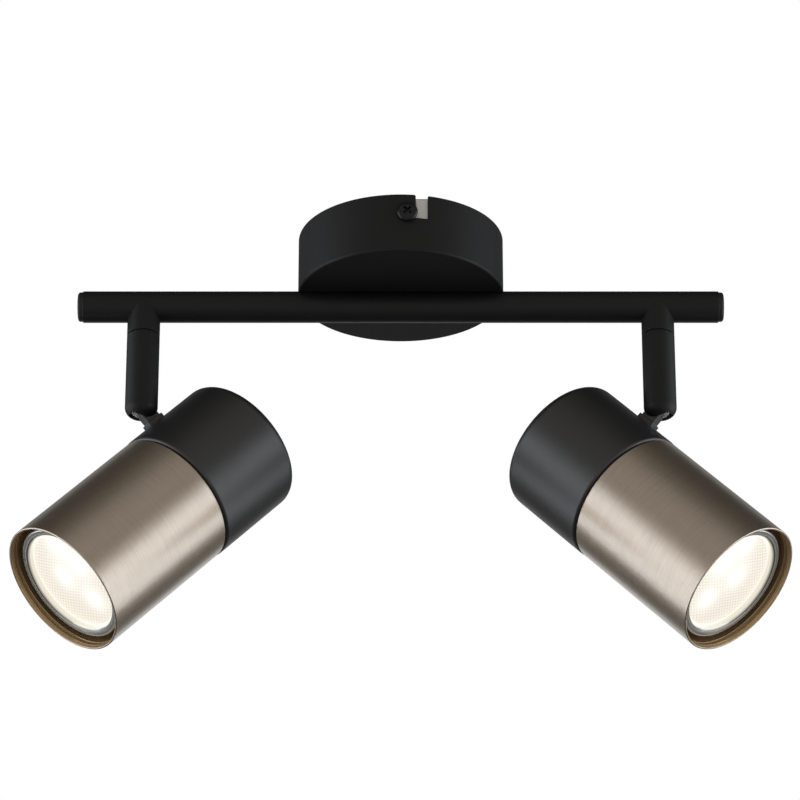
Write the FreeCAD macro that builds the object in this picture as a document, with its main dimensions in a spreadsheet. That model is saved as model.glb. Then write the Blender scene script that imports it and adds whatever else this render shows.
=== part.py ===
# A spot bar for a ceiling or a wall. A round canopy hooks on to a slotted bracket, a tube lies in
# a trough of the canopy, and two swivelling arms hang from the tube. Each arm carries a tilting
# head: a black rear cup and a brushed shade round a reflector lamp with two locking pins.
# Millimetres. The origin is the centre of the canopy's ceiling face. +Z points into the ceiling,
# X runs along the tube and -Y is the side that faces the room in the usual view.
import FreeCAD, Part
import math
import os
import re
import Sketcher

SIZES = {
    # Canopy, a drawn steel cup with a pressed trough for the tube
    "canopy_radius": 41.25,
    "canopy_height": 25.0,
    "canopy_wall": 0.8,
    "canopy_round": 1.2,
    "trough_depth": 2.0,
    "trough_clearance": 0.05,
    "trough_lap": 0.4,
    # Bayonet notches in the canopy's rim
    "notch_offset": 8.3,
    "notch_width": 4.7,
    "notch_leg_width": 4.4,
    # Screws through the notches into the bracket's ears
    "canopy_screw_offset": 2.6,
    "canopy_screw_drop": 8.1,
    "canopy_screw_radius": 2.0,
    "canopy_screw_length": 8.0,
    "canopy_head_radius": 4.1,
    "canopy_head_height": 2.4,
    "canopy_head_round": 1.3,
    "cross_length": 4.4,
    "cross_width": 0.9,
    "cross_depth": 1.3,
    # Ceiling bracket, a zinc coated steel strip with two turned-down ears
    "bracket_width": 24.0,
    "bracket_thick": 1.2,
    "bracket_bend": 0.3,
    "ear_drop": 13.0,
    "ear_gap": 0.3,
    "ceiling_slot_spacing": 50.0,
    "ceiling_slot_length": 14.0,
    "ceiling_slot_width": 5.0,
    # Terminal block and earth screw on the bracket
    "block_width": 16.0,
    "block_length": 17.0,
    "block_height": 9.0,
    "block_edge": 0.6,
    "pole_offset": 4.0,
    "pole_drop": 5.0,
    "pole_radius": 1.7,
    "tower_width": 5.6,
    "tower_height": 3.4,
    "tower_spacing": 9.0,
    "clamp_screw_radius": 1.6,
    "clamp_screw_sunk": 0.8,
    "driver_slit": 0.8,
    "earth_offset": 13.2,
    "earth_screw_radius": 2.0,
    "earth_head_radius": 3.4,
    "earth_head_height": 2.2,
    "earth_washer_radius": 3.8,
    "earth_washer_thick": 0.8,
    # Bar, a round steel tube with an end cap at each end
    "bar_radius": 6.35,
    "bar_wall": 1.0,
    "bar_length": 255.0,
    "bar_edge": 0.25,
    "cap_stick_out": 2.0,
    "cap_step": 0.4,
    "cap_round": 1.1,
    "cap_plug_length": 6.0,
    "plug_clearance": 0.05,
    # Screws, washers and weld nuts that hold the bar in the trough
    "bar_screw_offset": 14.0,
    "bar_screw_radius": 2.0,
    "bar_screw_length": 5.9,
    "bar_head_radius": 3.7,
    "bar_head_height": 2.4,
    "bar_head_edge": 0.9,
    "bar_washer_radius": 4.2,
    "bar_washer_thick": 0.8,
    "weld_nut_radius": 2.9,
    "weld_nut_length": 3.7,
    "weld_nut_sunk": 0.7,
    "thread_clearance": 0.05,
    # Bush that guards the leads where they enter the bar
    "bush_radius": 3.4,
    "bush_bore": 2.6,
    "bush_flange": 4.6,
    "bush_flange_thick": 1.0,
    "bush_reach": 1.2,
    # Fixed stubs under the bar, on which the arms swivel
    "arm_inset": 24.5,
    "arm_radius": 6.55,
    "stub_length": 12.65,
    "stub_saddle_gap": 0.6,
    "stub_floor": 1.8,
    "stub_bore": 5.2,
    "groove_edge": 0.35,
    "bar_exit_radius": 4.0,
    "stop_pin_radius": 0.6,
    "stop_pin_offset": 4.4,
    "stop_pin_stick_out": 0.85,
    "stop_groove_width": 1.4,
    "stop_groove_depth": 0.8,
    "stop_groove_angle": 348.0,
    # Swivel stem with its spring washer and nut
    "swivel_gap": 0.25,
    "swivel_clearance": 0.05,
    "collar_thick": 1.2,
    "stem_radius": 3.0,
    "stem_bore": 1.9,
    "stem_plug_length": 4.5,
    "stem_over_nut": 0.4,
    "spring_washer_radius": 4.7,
    "spring_washer_thick": 0.5,
    "swivel_nut_radius": 4.6,
    "swivel_nut_height": 2.0,
    # Arm, a tube with a domed and slotted lower end
    "arm_length": 34.95,
    "arm_bore": 4.75,
    "arm_dome": 4.4,
    "arm_web_top": 8.0,
    "arm_web_hole": 2.3,
    "hinge_rise": 4.6,
    "slot_width": 5.2,
    "slot_radius": 4.6,
    "slot_side_rise": 4.35,
    # Tilt screw and friction washers
    "tilt_screw_radius": 1.5,
    "tilt_clearance": 0.05,
    "tilt_screw_reach": 4.9,
    "tilt_seat": 4.3,
    "tilt_head_radius": 2.6,
    "tilt_head_height": 1.5,
    "friction_washer_radius": 3.8,
    "friction_gap": 0.05,
    # Hinge hub, bare zinc coated steel with a groove that leads the wires round the screw
    "hub_radius": 4.1,
    "hub_thick": 4.0,
    "hub_edge": 0.35,
    "hub_groove_width": 2.2,
    "hub_groove_floor": 2.3,
    # Hinge lug, cast and black, with a threaded spigot through the cup's wall
    "neck_thick": 4.4,
    "neck_width": 6.6,
    "neck_edge": 0.35,
    "foot_thick": 5.8,
    "foot_width": 8.0,
    "foot_height": 1.6,
    "foot_edge": 0.3,
    "channel_width": 3.8,
    "spigot_radius": 2.9,
    "spigot_bore": 1.9,
    "spigot_length": 6.3,
    "lug_nut_radius": 4.6,
    "lug_nut_height": 2.4,
    # Head: the hinge's place on it and the way it points
    "hinge_offset": 36.35,
    "lip_reach": 16.4,
    "head_tilt": 44.2,
    "head_turn": 25.5,
    # Rear cup
    "cup_length": 41.95,
    "cup_radius": 28.2,
    "cup_wall": 1.6,
    "cup_round": 4.0,
    "cup_lip": 1.35,
    # Shade, a tube with a necked end that plugs into the cup
    "shade_radius": 28.0,
    "shade_wall": 0.9,
    "shade_length": 64.65,
    "shade_gap": 0.8,
    "shade_neck_length": 6.0,
    "neck_clearance": 0.05,
    "mouth_edge": 0.3,
    "bead_depth": 1.7,
    "bead_pitch": 1.9,
    "bead_half_width": 0.55,
    "bead_height": 0.25,
    # Bracket strip that carries the lamp holder
    "strip_width": 10.0,
    "strip_thick": 1.2,
    "strip_bend": 0.6,
    "strip_wall_gap": 0.08,
    "strip_neck_gap": 0.15,
    "strip_tail": 6.0,
    "strip_joggle": 5.0,
    "strip_joggle_gap": 0.6,
    "strip_reach": 9.5,
    # Lamp holder, a ceramic block with two pin sockets
    "holder_radius": 12.5,
    "holder_half_width": 8.5,
    "holder_height": 15.0,
    "holder_edge": 0.8,
    "holder_gap": 0.1,
    "socket_radius": 2.7,
    "socket_depth": 9.0,
    "holder_screw_offset": 7.2,
    "holder_screw_radius": 1.5,
    "holder_screw_length": 4.0,
    "holder_screw_head": 2.6,
    "holder_screw_head_height": 1.6,
    # Lamp, 50 mm reflector size with two locking pins
    "lamp_recess": 3.9,
    "lamp_radius": 25.0,
    "lamp_length": 48.0,
    "lamp_base_radius": 11.0,
    "lamp_base_length": 12.0,
    "lamp_base_edge": 1.0,
    "driver_radius": 9.0,
    "pin_spacing": 10.0,
    "pin_radius": 1.2,
    "pin_length": 7.4,
    "pin_foot_radius": 2.35,
    "pin_foot_height": 1.5,
    "glass_wall": 1.1,
    "glass_rim_height": 4.2,
    "glass_rim_edge": 1.0,
    "lens_radius": 21.3,
    "lens_clearance": 0.05,
    "lens_thick": 1.5,
    "lens_set_back": 1.5,
    "lens_bulge_radius": 190.0,
    "lens_edge_step": 1.2,
    "board_radius": 17.0,
    "board_thick": 1.2,
    "board_set_back": 12.0,
    "led_size": 3.5,
    "led_height": 0.8,
    "led_offset": 8.6,
    # Insulated leads
    "lead_radius": 0.6,
    "lead_lane": 0.95,
    "lead_pole_lane": 0.85,
    "lead_end_gap": 0.2,
    "lead_run_out": 4.5,
    "lead_entry_drop": 16.0,
    "lead_bar_drop": 1.9,
    "lead_side": 6.8,
    "lead_turn_in": 15.0,
    "lead_rise": 5.0,
    # One overrun for every cut
    "cut_margin": 1.0,
}

# The share of the shorter run that a lead's bend takes.
BEND_SHARE = 0.45
# The lamp's bowl widens by this power of the share of its height.
BOWL_SHARES = (0, 0.15, 0.4, 0.7, 1)
BOWL_POWER = 0.6
SIDES = (("left", -1), ("right", 1))

# Levels and radii that several pieces share, in terms of the sizes.
CANOPY_INSIDE = "(canopy_radius - canopy_wall)"
BAR_DROP = "(canopy_height + bar_radius - trough_depth)"
TROUGH_RADIUS = "(bar_radius + trough_clearance)"
TROUGH_BACK = "(bar_radius + trough_clearance + canopy_wall)"
TROUGH_TOP_DROP = "(canopy_height + bar_radius - trough_depth - %s)" % TROUGH_BACK
BAR_BORE = "(bar_radius - bar_wall)"
ARM_SPREAD = "(bar_length / 2 - arm_inset)"
EAR_REACH = "(sqrt(%s ^ 2 - bracket_width ^ 2 / 4) - ear_gap)" % CANOPY_INSIDE
ARM_TOP = "(arm_length - hinge_rise)"
HINGE_DROP = "(%s + stub_length + swivel_gap + collar_thick + %s)" % (BAR_DROP, ARM_TOP)
STUB_SEAT = "(collar_thick + swivel_gap + stub_floor)"
STEM_TOP = "(%s + spring_washer_thick + swivel_nut_height + stem_over_nut)" % STUB_SEAT
CUP_INSIDE = "(cup_radius - cup_wall)"
MOUTH = "(lip_reach + shade_length)"
CUP_BACK = "(lip_reach - cup_length)"
NECK_OUT = "(%s - neck_clearance)" % CUP_INSIDE
NECK_BACK = "(lip_reach - shade_neck_length)"
STRIP_FACE = "(sqrt(%s ^ 2 - strip_width ^ 2 / 4) - strip_wall_gap)" % CUP_INSIDE
STRIP_INNER_FACE = "(sqrt((%s - shade_wall - strip_neck_gap) ^ 2 - strip_width ^ 2 / 4))" % NECK_OUT
LAMP_FACE = "(%s - lamp_recess)" % MOUTH
LAMP_SHOULDER = "(%s - lamp_length)" % LAMP_FACE
HOLDER_BASE = "(%s - holder_gap - holder_height)" % LAMP_SHOULDER
GLASS_NECK = "(%s + lamp_base_length)" % LAMP_SHOULDER
BOARD_BACK = "(%s - board_set_back)" % LAMP_FACE

doc = FreeCAD.newDocument("spot_bar")
sheet = doc.addObject("Spreadsheet::Sheet", "Sizes")
for row, (alias, value) in enumerate(SIZES.items(), 1):
    sheet.set("A%d" % row, alias)
    sheet.set("B%d" % row, str(value))
    sheet.setAlias("B%d" % row, alias)
doc.recompute()
nodes = {}


def bound(text):
    """An expression in which each size's name points at its cell in the sheet."""
    names = "|".join(sorted(SIZES, key=len, reverse=True))
    return re.sub(r"\b(%s)\b" % names, r"Sizes.\1", text)


def number(text):
    return float(sheet.evalExpression(bound(text)))


def moved(x="0", y="0", z="0", rotation=None):
    place = FreeCAD.Vector(number(x), number(y), number(z))
    return FreeCAD.Placement(place, rotation or FreeCAD.Rotation())


def pointing(x, y, z):
    """The rotation that turns +Z to a direction."""
    return FreeCAD.Rotation(FreeCAD.Vector(0, 0, 1), FreeCAD.Vector(x, y, z))


def new_body(label, placement=None):
    body = doc.addObject("PartDesign::Body", label)
    body.Label = label
    body.Placement = placement or FreeCAD.Placement()
    nodes[label] = body
    return body


def new_sketch(body, role, name, offset="0"):
    """A sketch on one of the body's own origin planes, lifted by an offset."""
    sketch = body.newObject("Sketcher::SketchObject", name)
    plane = next(item for item in body.Origin.OriginFeatures if item.Role == role)
    sketch.AttachmentSupport = [(plane, "")]
    sketch.MapMode = "FlatFace"
    sketch.setExpression(".AttachmentOffset.Base.z", bound(offset))
    return sketch


def hold_size(sketch, kind, text, *where):
    index = sketch.addConstraint(Sketcher.Constraint(kind, *where, number(text)))
    sketch.setExpression("Constraints[%d]" % index, bound(text))


def hold_point(sketch, geometry, end, x, y):
    hold_size(sketch, "DistanceX", x, -1, 1, geometry, end)
    hold_size(sketch, "DistanceY", y, -1, 1, geometry, end)


def arc_between(start, end, radius):
    """A short arc. Its centre lies left of the way from start to end, or right for a minus radius."""
    chord = end - start
    height = math.sqrt(max(radius ** 2 - (chord.Length / 2) ** 2, 0))
    left = FreeCAD.Vector(-chord.y, chord.x, 0).normalize()
    centre = (start + end) / 2 + left * math.copysign(height, radius)
    first, last = (start, end) if radius > 0 else (end, start)
    angles = [math.atan2(point.y - centre.y, point.x - centre.x) for point in (first, last)]
    circle = Part.Circle(centre, FreeCAD.Vector(0, 0, 1), abs(radius))
    return Part.ArcOfCircle(circle, angles[0], angles[1])


def outline(sketch, points):
    """A closed outline. A point is (x, y), or (x, y, radius) where an arc leads to it."""
    places = [FreeCAD.Vector(number(point[0]), number(point[1]), 0) for point in points]
    ends = []
    for index, point in enumerate(points):
        if len(point) == 2:
            edge = sketch.addGeometry(Part.LineSegment(places[index - 1], places[index]))
            ends.append((edge, 1, 2))
        else:
            radius = number(point[2])
            edge = sketch.addGeometry(arc_between(places[index - 1], places[index], radius))
            ends.append((edge, 1, 2) if radius > 0 else (edge, 2, 1))
            hold_size(sketch, "Radius", point[2].lstrip("-"), edge)
    for index, point in enumerate(points):
        edge, start, end = ends[index]
        after = ends[(index + 1) % len(ends)]
        sketch.addConstraint(Sketcher.Constraint("Coincident", edge, end, after[0], after[1]))
        hold_point(sketch, edge, end, point[0], point[1])


def rectangle(sketch, low_x, low_y, high_x, high_y):
    outline(sketch, [(low_x, low_y), (high_x, low_y), (high_x, high_y), (low_x, high_y)])


def circle(sketch, x, y, radius):
    middle = FreeCAD.Vector(number(x), number(y), 0)
    edge = sketch.addGeometry(Part.Circle(middle, FreeCAD.Vector(0, 0, 1), number(radius)))
    hold_point(sketch, edge, 3, x, y)
    hold_size(sketch, "Radius", radius, edge)


def extruded(body, sketch, name, length, both=False, back=False, cut=False):
    feature = body.newObject("PartDesign::Pocket" if cut else "PartDesign::Pad", name)
    feature.Profile = sketch
    feature.SideType = "Symmetric" if both else "One side"
    feature.setExpression("Length", bound(length))
    feature.Reversed = back
    return feature


def padded(body, sketch, name, length, both=False, back=False):
    return extruded(body, sketch, name, length, both, back)


def pocketed(body, sketch, name, length, both=False, along=False):
    """Cut against the sketch plane's normal, or along it, or both ways."""
    return extruded(body, sketch, name, length, both, along, cut=True)


def turned(body, name, points, angle="360", cut=False):
    """A turned shape about the body's Z axis, its profile given as radius and height."""
    sketch = new_sketch(body, "XZ_Plane", name + "_profile")
    outline(sketch, points)
    feature = body.newObject("PartDesign::Groove" if cut else "PartDesign::Revolution", name)
    feature.Profile = sketch
    feature.ReferenceAxis = (sketch, ["V_Axis"])
    feature.Midplane = True
    feature.setExpression("Angle", bound(angle))
    return feature


def repeated(body, kind, name, originals, **settings):
    """A pattern or mirror of features, which then ends the body."""
    pattern = body.newObject(kind, name)
    pattern.Originals = originals
    for key, value in settings.items():
        setattr(pattern, key, value)
    body.Tip = pattern
    return pattern


def axis_of(body, role):
    return (next(item for item in body.Origin.OriginFeatures if item.Role == role), [""])


def around(body, name, originals, count):
    return repeated(body, "PartDesign::PolarPattern", name, originals,
                    Axis=axis_of(body, "Z_Axis"), Angle=360, Occurrences=count)


def opposite(body, name, originals):
    """The same features again, half a turn about the body's Z axis."""
    return around(body, name, originals, 2)


def mirrored(body, name, originals, role):
    return repeated(body, "PartDesign::Mirrored", name, originals, MirrorPlane=axis_of(body, role))


def dressed(body, kind, name, size, keep):
    """A fillet or chamfer on the edges of the body so far whose middle passes a test."""
    doc.recompute()
    base = body.Tip
    found = []
    for index, edge in enumerate(base.Shape.Edges, 1):
        middle = edge.valueAt((edge.FirstParameter + edge.LastParameter) / 2)
        if keep(edge, middle):
            found.append("Edge%d" % index)
    feature = body.newObject(kind, name)
    feature.Base = (base, found)
    feature.setExpression("Radius" if kind.endswith("Fillet") else "Size", bound(size))
    return feature


def hexagon(sketch, radius):
    corners = range(0, 360, 60)
    outline(sketch, [("%s * cos(%d)" % (radius, turn), "%s * sin(%d)" % (radius, turn)) for turn in corners])


# Ceiling bracket: a strip across the canopy, bent down at both ends into threaded ears. Two slots
# take the ceiling screws.
bracket = new_body("ceiling_bracket")
strip = new_sketch(bracket, "YZ_Plane", "strip_outline")
BEND_OUT = "(bracket_bend + bracket_thick)"
strip_right = [
    ("%s - %s" % (EAR_REACH, BEND_OUT), "0"),
    (EAR_REACH, "-" + BEND_OUT, "-" + BEND_OUT),
    (EAR_REACH, "-ear_drop"),
    ("%s - bracket_thick" % EAR_REACH, "-ear_drop"),
    ("%s - bracket_thick" % EAR_REACH, "-" + BEND_OUT),
    ("%s - %s" % (EAR_REACH, BEND_OUT), "-bracket_thick", "bracket_bend"),
]
strip_left = [
    ("-(%s - %s)" % (EAR_REACH, BEND_OUT), "-bracket_thick"),
    ("-(%s - bracket_thick)" % EAR_REACH, "-" + BEND_OUT, "bracket_bend"),
    ("-(%s - bracket_thick)" % EAR_REACH, "-ear_drop"),
    ("-" + EAR_REACH, "-ear_drop"),
    ("-" + EAR_REACH, "-" + BEND_OUT),
    ("-(%s - %s)" % (EAR_REACH, BEND_OUT), "0", "-" + BEND_OUT),
]
outline(strip, strip_right + strip_left)
padded(bracket, strip, "strip", "bracket_width", both=True)
slots = new_sketch(bracket, "XY_Plane", "slot_outlines")
slot_ends = new_sketch(bracket, "XY_Plane", "slot_end_circles")
for sign in ("", "-"):
    near = "%s(ceiling_slot_spacing - ceiling_slot_length + ceiling_slot_width) / 2" % sign
    far = "%s(ceiling_slot_spacing + ceiling_slot_length - ceiling_slot_width) / 2" % sign
    rectangle(slots, "-ceiling_slot_width / 2", near, "ceiling_slot_width / 2", far)
    circle(slot_ends, "0", near, "ceiling_slot_width / 2")
    circle(slot_ends, "0", far, "ceiling_slot_width / 2")
circle(slot_ends, "0", "earth_offset", "earth_screw_radius + thread_clearance")
pocketed(bracket, slots, "slots", "bracket_thick + cut_margin")
pocketed(bracket, slot_ends, "slot_ends", "bracket_thick + cut_margin")
ear_hole_sketch = new_sketch(bracket, "XZ_Plane", "ear_hole_circle")
circle(ear_hole_sketch, "canopy_screw_offset", "-canopy_screw_drop",
       "canopy_screw_radius + thread_clearance")
ear_hole = pocketed(bracket, ear_hole_sketch, "ear_hole", "canopy_radius", along=True)
opposite(bracket, "ear_holes", [ear_hole])

# Canopy: drawn cup, open to the ceiling. The trough across its lower face seats the bar, and a
# notch with a side leg on each side hooks over the screws in the bracket's ears.
canopy = new_body("canopy")
CANOPY_FLOOR = "(canopy_wall - canopy_height)"
turned(canopy, "cup", [
    ("0", "-canopy_height"),
    ("canopy_radius - canopy_round", "-canopy_height"),
    ("canopy_radius", "canopy_round - canopy_height", "canopy_round"),
    ("canopy_radius", "0"),
    (CANOPY_INSIDE, "0"),
    (CANOPY_INSIDE, "canopy_round - canopy_height"),
    ("canopy_radius - canopy_round", CANOPY_FLOOR),
    ("0", CANOPY_FLOOR),
])
hump = new_sketch(canopy, "YZ_Plane", "hump_outline")
HUMP_HALF = "sqrt(%s ^ 2 - (%s - canopy_height + trough_lap) ^ 2)" % (TROUGH_BACK, BAR_DROP)
outline(hump, [
    (HUMP_HALF, "trough_lap - canopy_height"),
    ("0", "-" + TROUGH_TOP_DROP, TROUGH_BACK),
    ("-" + HUMP_HALF, "trough_lap - canopy_height", TROUGH_BACK),
])
padded(canopy, hump, "hump", "2 * " + CANOPY_INSIDE, both=True)
trough = new_sketch(canopy, "YZ_Plane", "trough_circle")
circle(trough, "0", "-" + BAR_DROP, TROUGH_RADIUS)
pocketed(canopy, trough, "trough", "2 * (canopy_radius + cut_margin)", both=True)
face_holes = new_sketch(canopy, "XY_Plane", "face_hole_circles")
circle(face_holes, "0", "0", "bush_radius + plug_clearance")
circle(face_holes, "bar_screw_offset", "0", "bar_screw_radius + thread_clearance")
circle(face_holes, "-bar_screw_offset", "0", "bar_screw_radius + thread_clearance")
pocketed(canopy, face_holes, "face_holes", "canopy_height + cut_margin")
notch = new_sketch(canopy, "XZ_Plane", "notch_outline")
outline(notch, [
    ("notch_offset + notch_width / 2", "cut_margin"),
    ("notch_offset - notch_width / 2", "cut_margin"),
    ("notch_offset - notch_width / 2", "notch_leg_width / 2 - canopy_screw_drop"),
    ("canopy_screw_offset", "notch_leg_width / 2 - canopy_screw_drop"),
    ("canopy_screw_offset", "-notch_leg_width / 2 - canopy_screw_drop"),
    ("notch_offset + notch_width / 2", "-notch_leg_width / 2 - canopy_screw_drop"),
])
notch_cut = pocketed(canopy, notch, "notch", "canopy_radius + cut_margin", along=True)
leg_end = new_sketch(canopy, "XZ_Plane", "leg_end_circle")
circle(leg_end, "canopy_screw_offset", "-canopy_screw_drop", "notch_leg_width / 2")
leg_end_cut = pocketed(canopy, leg_end, "leg_end", "canopy_radius + cut_margin", along=True)
opposite(canopy, "both_notches", [notch_cut, leg_end_cut])

# Canopy screws: two black pan heads with a cross recess, one in front and one behind.
canopy_screws = new_body("canopy_screws")
screw = new_sketch(canopy_screws, "XY_Plane", "screw_profile", "-canopy_screw_drop")
SCREW_SEAT = "-(canopy_radius + thread_clearance)"
HEAD_TOP = "-(canopy_radius + thread_clearance + canopy_head_height)"
outline(screw, [
    ("canopy_screw_offset", "canopy_screw_length - canopy_radius"),
    ("canopy_screw_offset", HEAD_TOP),
    ("canopy_screw_offset + canopy_head_radius - canopy_head_round", HEAD_TOP),
    ("canopy_screw_offset + canopy_head_radius", HEAD_TOP + " + canopy_head_round", "canopy_head_round"),
    ("canopy_screw_offset + canopy_head_radius", SCREW_SEAT),
    ("canopy_screw_offset + canopy_screw_radius", SCREW_SEAT),
    ("canopy_screw_offset + canopy_screw_radius", "canopy_screw_length - canopy_radius"),
])
screw_axis = screw.addGeometry(Part.LineSegment(
    FreeCAD.Vector(number("canopy_screw_offset"), 0, 0),
    FreeCAD.Vector(number("canopy_screw_offset"), number("cut_margin"), 0)), True)
hold_point(screw, screw_axis, 1, "canopy_screw_offset", "0")
hold_point(screw, screw_axis, 2, "canopy_screw_offset", "cut_margin")
screw_turn = canopy_screws.newObject("PartDesign::Revolution", "screw_turn")
screw_turn.Profile = screw
screw_turn.ReferenceAxis = (screw, ["Axis0"])
cross = []
for name, half_x, half_z in (("cross_level", "cross_length / 2", "cross_width / 2"),
                             ("cross_upright", "cross_width / 2", "cross_length / 2")):
    bar_of_cross = new_sketch(canopy_screws, "XZ_Plane", name + "_outline",
                              "canopy_radius + thread_clearance + canopy_head_height - cross_depth")
    rectangle(bar_of_cross, "canopy_screw_offset - " + half_x, "-canopy_screw_drop - " + half_z,
              "canopy_screw_offset + " + half_x, "-canopy_screw_drop + " + half_z)
    cross.append(pocketed(canopy_screws, bar_of_cross, name, "cross_depth + cut_margin", along=True))
opposite(canopy_screws, "both_screws", [screw_turn] + cross)

# Terminal block: two poles in a moulded block under the bracket, with four screw towers.
block = new_body("terminal_block", moved(z="-bracket_thick"))
block_plan = new_sketch(block, "XY_Plane", "block_outline")
rectangle(block_plan, "-block_width / 2", "-block_length / 2", "block_width / 2", "block_length / 2")
padded(block, block_plan, "block_base", "block_height", back=True)
dressed(block, "PartDesign::Chamfer", "block_edges", "block_edge",
        lambda edge, middle: abs(middle.x) > number("block_width / 2 - block_edge")
        and abs(middle.y) > number("block_length / 2 - block_edge"))
towers = new_sketch(block, "XY_Plane", "tower_outlines", "-block_height")
tower_bores = new_sketch(block, "XY_Plane", "tower_bore_circles", "-(block_height + tower_height)")
tower_places = []
for x in ("-pole_offset", "pole_offset"):
    for y in ("-tower_spacing / 2", "tower_spacing / 2"):
        rectangle(towers, x + " - tower_width / 2", y + " - tower_width / 2",
                  x + " + tower_width / 2", y + " + tower_width / 2")
        circle(tower_bores, x, y, "clamp_screw_radius + thread_clearance")
        tower_places.append((x, y))
padded(block, towers, "towers", "tower_height", back=True)
pocketed(block, tower_bores, "tower_bores", "block_height + tower_height - pole_drop", along=True)
poles = new_sketch(block, "XZ_Plane", "pole_circles")
for x in ("-pole_offset", "pole_offset"):
    circle(poles, x, "-pole_drop", "pole_radius")
pocketed(block, poles, "pole_bores", "block_length + cut_margin", both=True)

# Clamp screws of the terminal block, sunk in its towers.
CLAMP_SCREW_DROP = "(block_height + tower_height - clamp_screw_sunk)"
clamp_screws = new_body("terminal_screws", moved(z="-(bracket_thick + %s)" % CLAMP_SCREW_DROP))
clamp_plan = new_sketch(clamp_screws, "XY_Plane", "clamp_screw_circles")
for x, y in tower_places:
    circle(clamp_plan, x, y, "clamp_screw_radius")
padded(clamp_screws, clamp_plan, "clamp_screw_shanks", CLAMP_SCREW_DROP + " - pole_drop - pole_radius")
clamp_slits = new_sketch(clamp_screws, "XY_Plane", "clamp_screw_slits")
for x, y in tower_places:
    rectangle(clamp_slits, x + " - clamp_screw_radius - cut_margin", y + " - driver_slit / 2",
              x + " + clamp_screw_radius + cut_margin", y + " + driver_slit / 2")
pocketed(clamp_screws, clamp_slits, "clamp_screw_slits_cut", "driver_slit", along=True)

# Earth screw with its washer, tapped into the bracket.
earth = new_body("earth_screw", moved(y="earth_offset", z="-bracket_thick"))
turned(earth, "earth_screw_and_washer", [
    ("0", "bracket_thick - thread_clearance"),
    ("0", "-(earth_washer_thick + earth_head_height)"),
    ("earth_head_radius", "-(earth_washer_thick + earth_head_height)"),
    ("earth_head_radius", "-earth_washer_thick"),
    ("earth_washer_radius", "-earth_washer_thick"),
    ("earth_washer_radius", "0"),
    ("earth_screw_radius", "0"),
    ("earth_screw_radius", "bracket_thick - thread_clearance"),
])
earth_slit = new_sketch(earth, "XY_Plane", "earth_slit", "-(earth_washer_thick + earth_head_height)")
rectangle(earth_slit, "-earth_head_radius - cut_margin", "-driver_slit / 2",
          "earth_head_radius + cut_margin", "driver_slit / 2")
pocketed(earth, earth_slit, "earth_slit_cut", "driver_slit", along=True)

# Bar: a steel tube. It has two screw holes and a lead hole on top, and a lead hole over each stub.
bar = new_body("bar", moved(z="-" + BAR_DROP))
tube = new_sketch(bar, "YZ_Plane", "tube_circles")
circle(tube, "0", "0", "bar_radius")
circle(tube, "0", "0", BAR_BORE)
padded(bar, tube, "tube", "bar_length", both=True)
top_holes = new_sketch(bar, "XY_Plane", "top_hole_circles")
circle(top_holes, "0", "0", "bush_radius + plug_clearance")
circle(top_holes, "bar_screw_offset", "0", "weld_nut_radius + thread_clearance")
circle(top_holes, "-bar_screw_offset", "0", "weld_nut_radius + thread_clearance")
pocketed(bar, top_holes, "top_holes", "bar_radius + cut_margin", along=True)
exits = new_sketch(bar, "XY_Plane", "exit_circles")
circle(exits, ARM_SPREAD, "0", "bar_exit_radius")
circle(exits, "-" + ARM_SPREAD, "0", "bar_exit_radius")
pocketed(bar, exits, "exits", "bar_radius + cut_margin")
dressed(bar, "PartDesign::Chamfer", "tube_ends", "bar_edge",
        lambda edge, middle: abs(abs(middle.x) - number("bar_length / 2")) < number("bar_edge")
        and abs(math.hypot(middle.y, middle.z) - number("bar_radius")) < number("bar_edge"))

# End caps: turned plugs with a rounded head, pushed into the tube's ends.
for side, sign in SIDES:
    cap = new_body(side + "_bar_cap",
                   moved("%d * bar_length / 2" % sign, "0", "-" + BAR_DROP, pointing(sign, 0, 0)))
    turned(cap, "cap", [
        ("0", "-cap_plug_length"),
        (BAR_BORE + " - plug_clearance", "-cap_plug_length"),
        (BAR_BORE + " - plug_clearance", "0"),
        ("bar_radius - cap_step", "0"),
        ("bar_radius - cap_step", "cap_stick_out - cap_round"),
        ("bar_radius - cap_step - cap_round", "cap_stick_out", "cap_round"),
        ("0", "cap_stick_out"),
    ])

# Bar screws: pan heads and washers inside the canopy, on the hump over the trough.
bar_screws = new_body("bar_screws", moved("bar_screw_offset", "0", "-" + TROUGH_TOP_DROP))
bar_screw = turned(bar_screws, "bar_screw", [
    ("0", "-bar_screw_length"),
    ("bar_screw_radius", "-bar_screw_length"),
    ("bar_screw_radius", "0"),
    ("bar_washer_radius", "0"),
    ("bar_washer_radius", "bar_washer_thick"),
    ("bar_head_radius", "bar_washer_thick"),
    ("bar_head_radius", "bar_washer_thick + bar_head_height - bar_head_edge"),
    ("bar_head_radius - bar_head_edge", "bar_washer_thick + bar_head_height"),
    ("0", "bar_washer_thick + bar_head_height"),
])
pair = repeated(bar_screws, "PartDesign::LinearPattern", "bar_screw_pair", [bar_screw],
                Direction=axis_of(bar_screws, "X_Axis"), Reversed=True, Occurrences=2)
pair.setExpression("Length", bound("2 * bar_screw_offset"))

# Weld nuts in the bar's wall, which the bar screws thread into.
NUT_DROP = "(%s - bar_radius + weld_nut_sunk)" % BAR_DROP
weld_nuts = new_body("bar_weld_nuts", moved("bar_screw_offset", "0", "-" + NUT_DROP))
weld_nut = turned(weld_nuts, "weld_nut", [
    ("bar_screw_radius + thread_clearance", "-weld_nut_length"),
    ("weld_nut_radius", "-weld_nut_length"),
    ("weld_nut_radius", "0"),
    ("bar_screw_radius + thread_clearance", "0"),
])
pair = repeated(weld_nuts, "PartDesign::LinearPattern", "weld_nut_pair", [weld_nut],
                Direction=axis_of(weld_nuts, "X_Axis"), Reversed=True, Occurrences=2)
pair.setExpression("Length", bound("2 * bar_screw_offset"))

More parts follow.
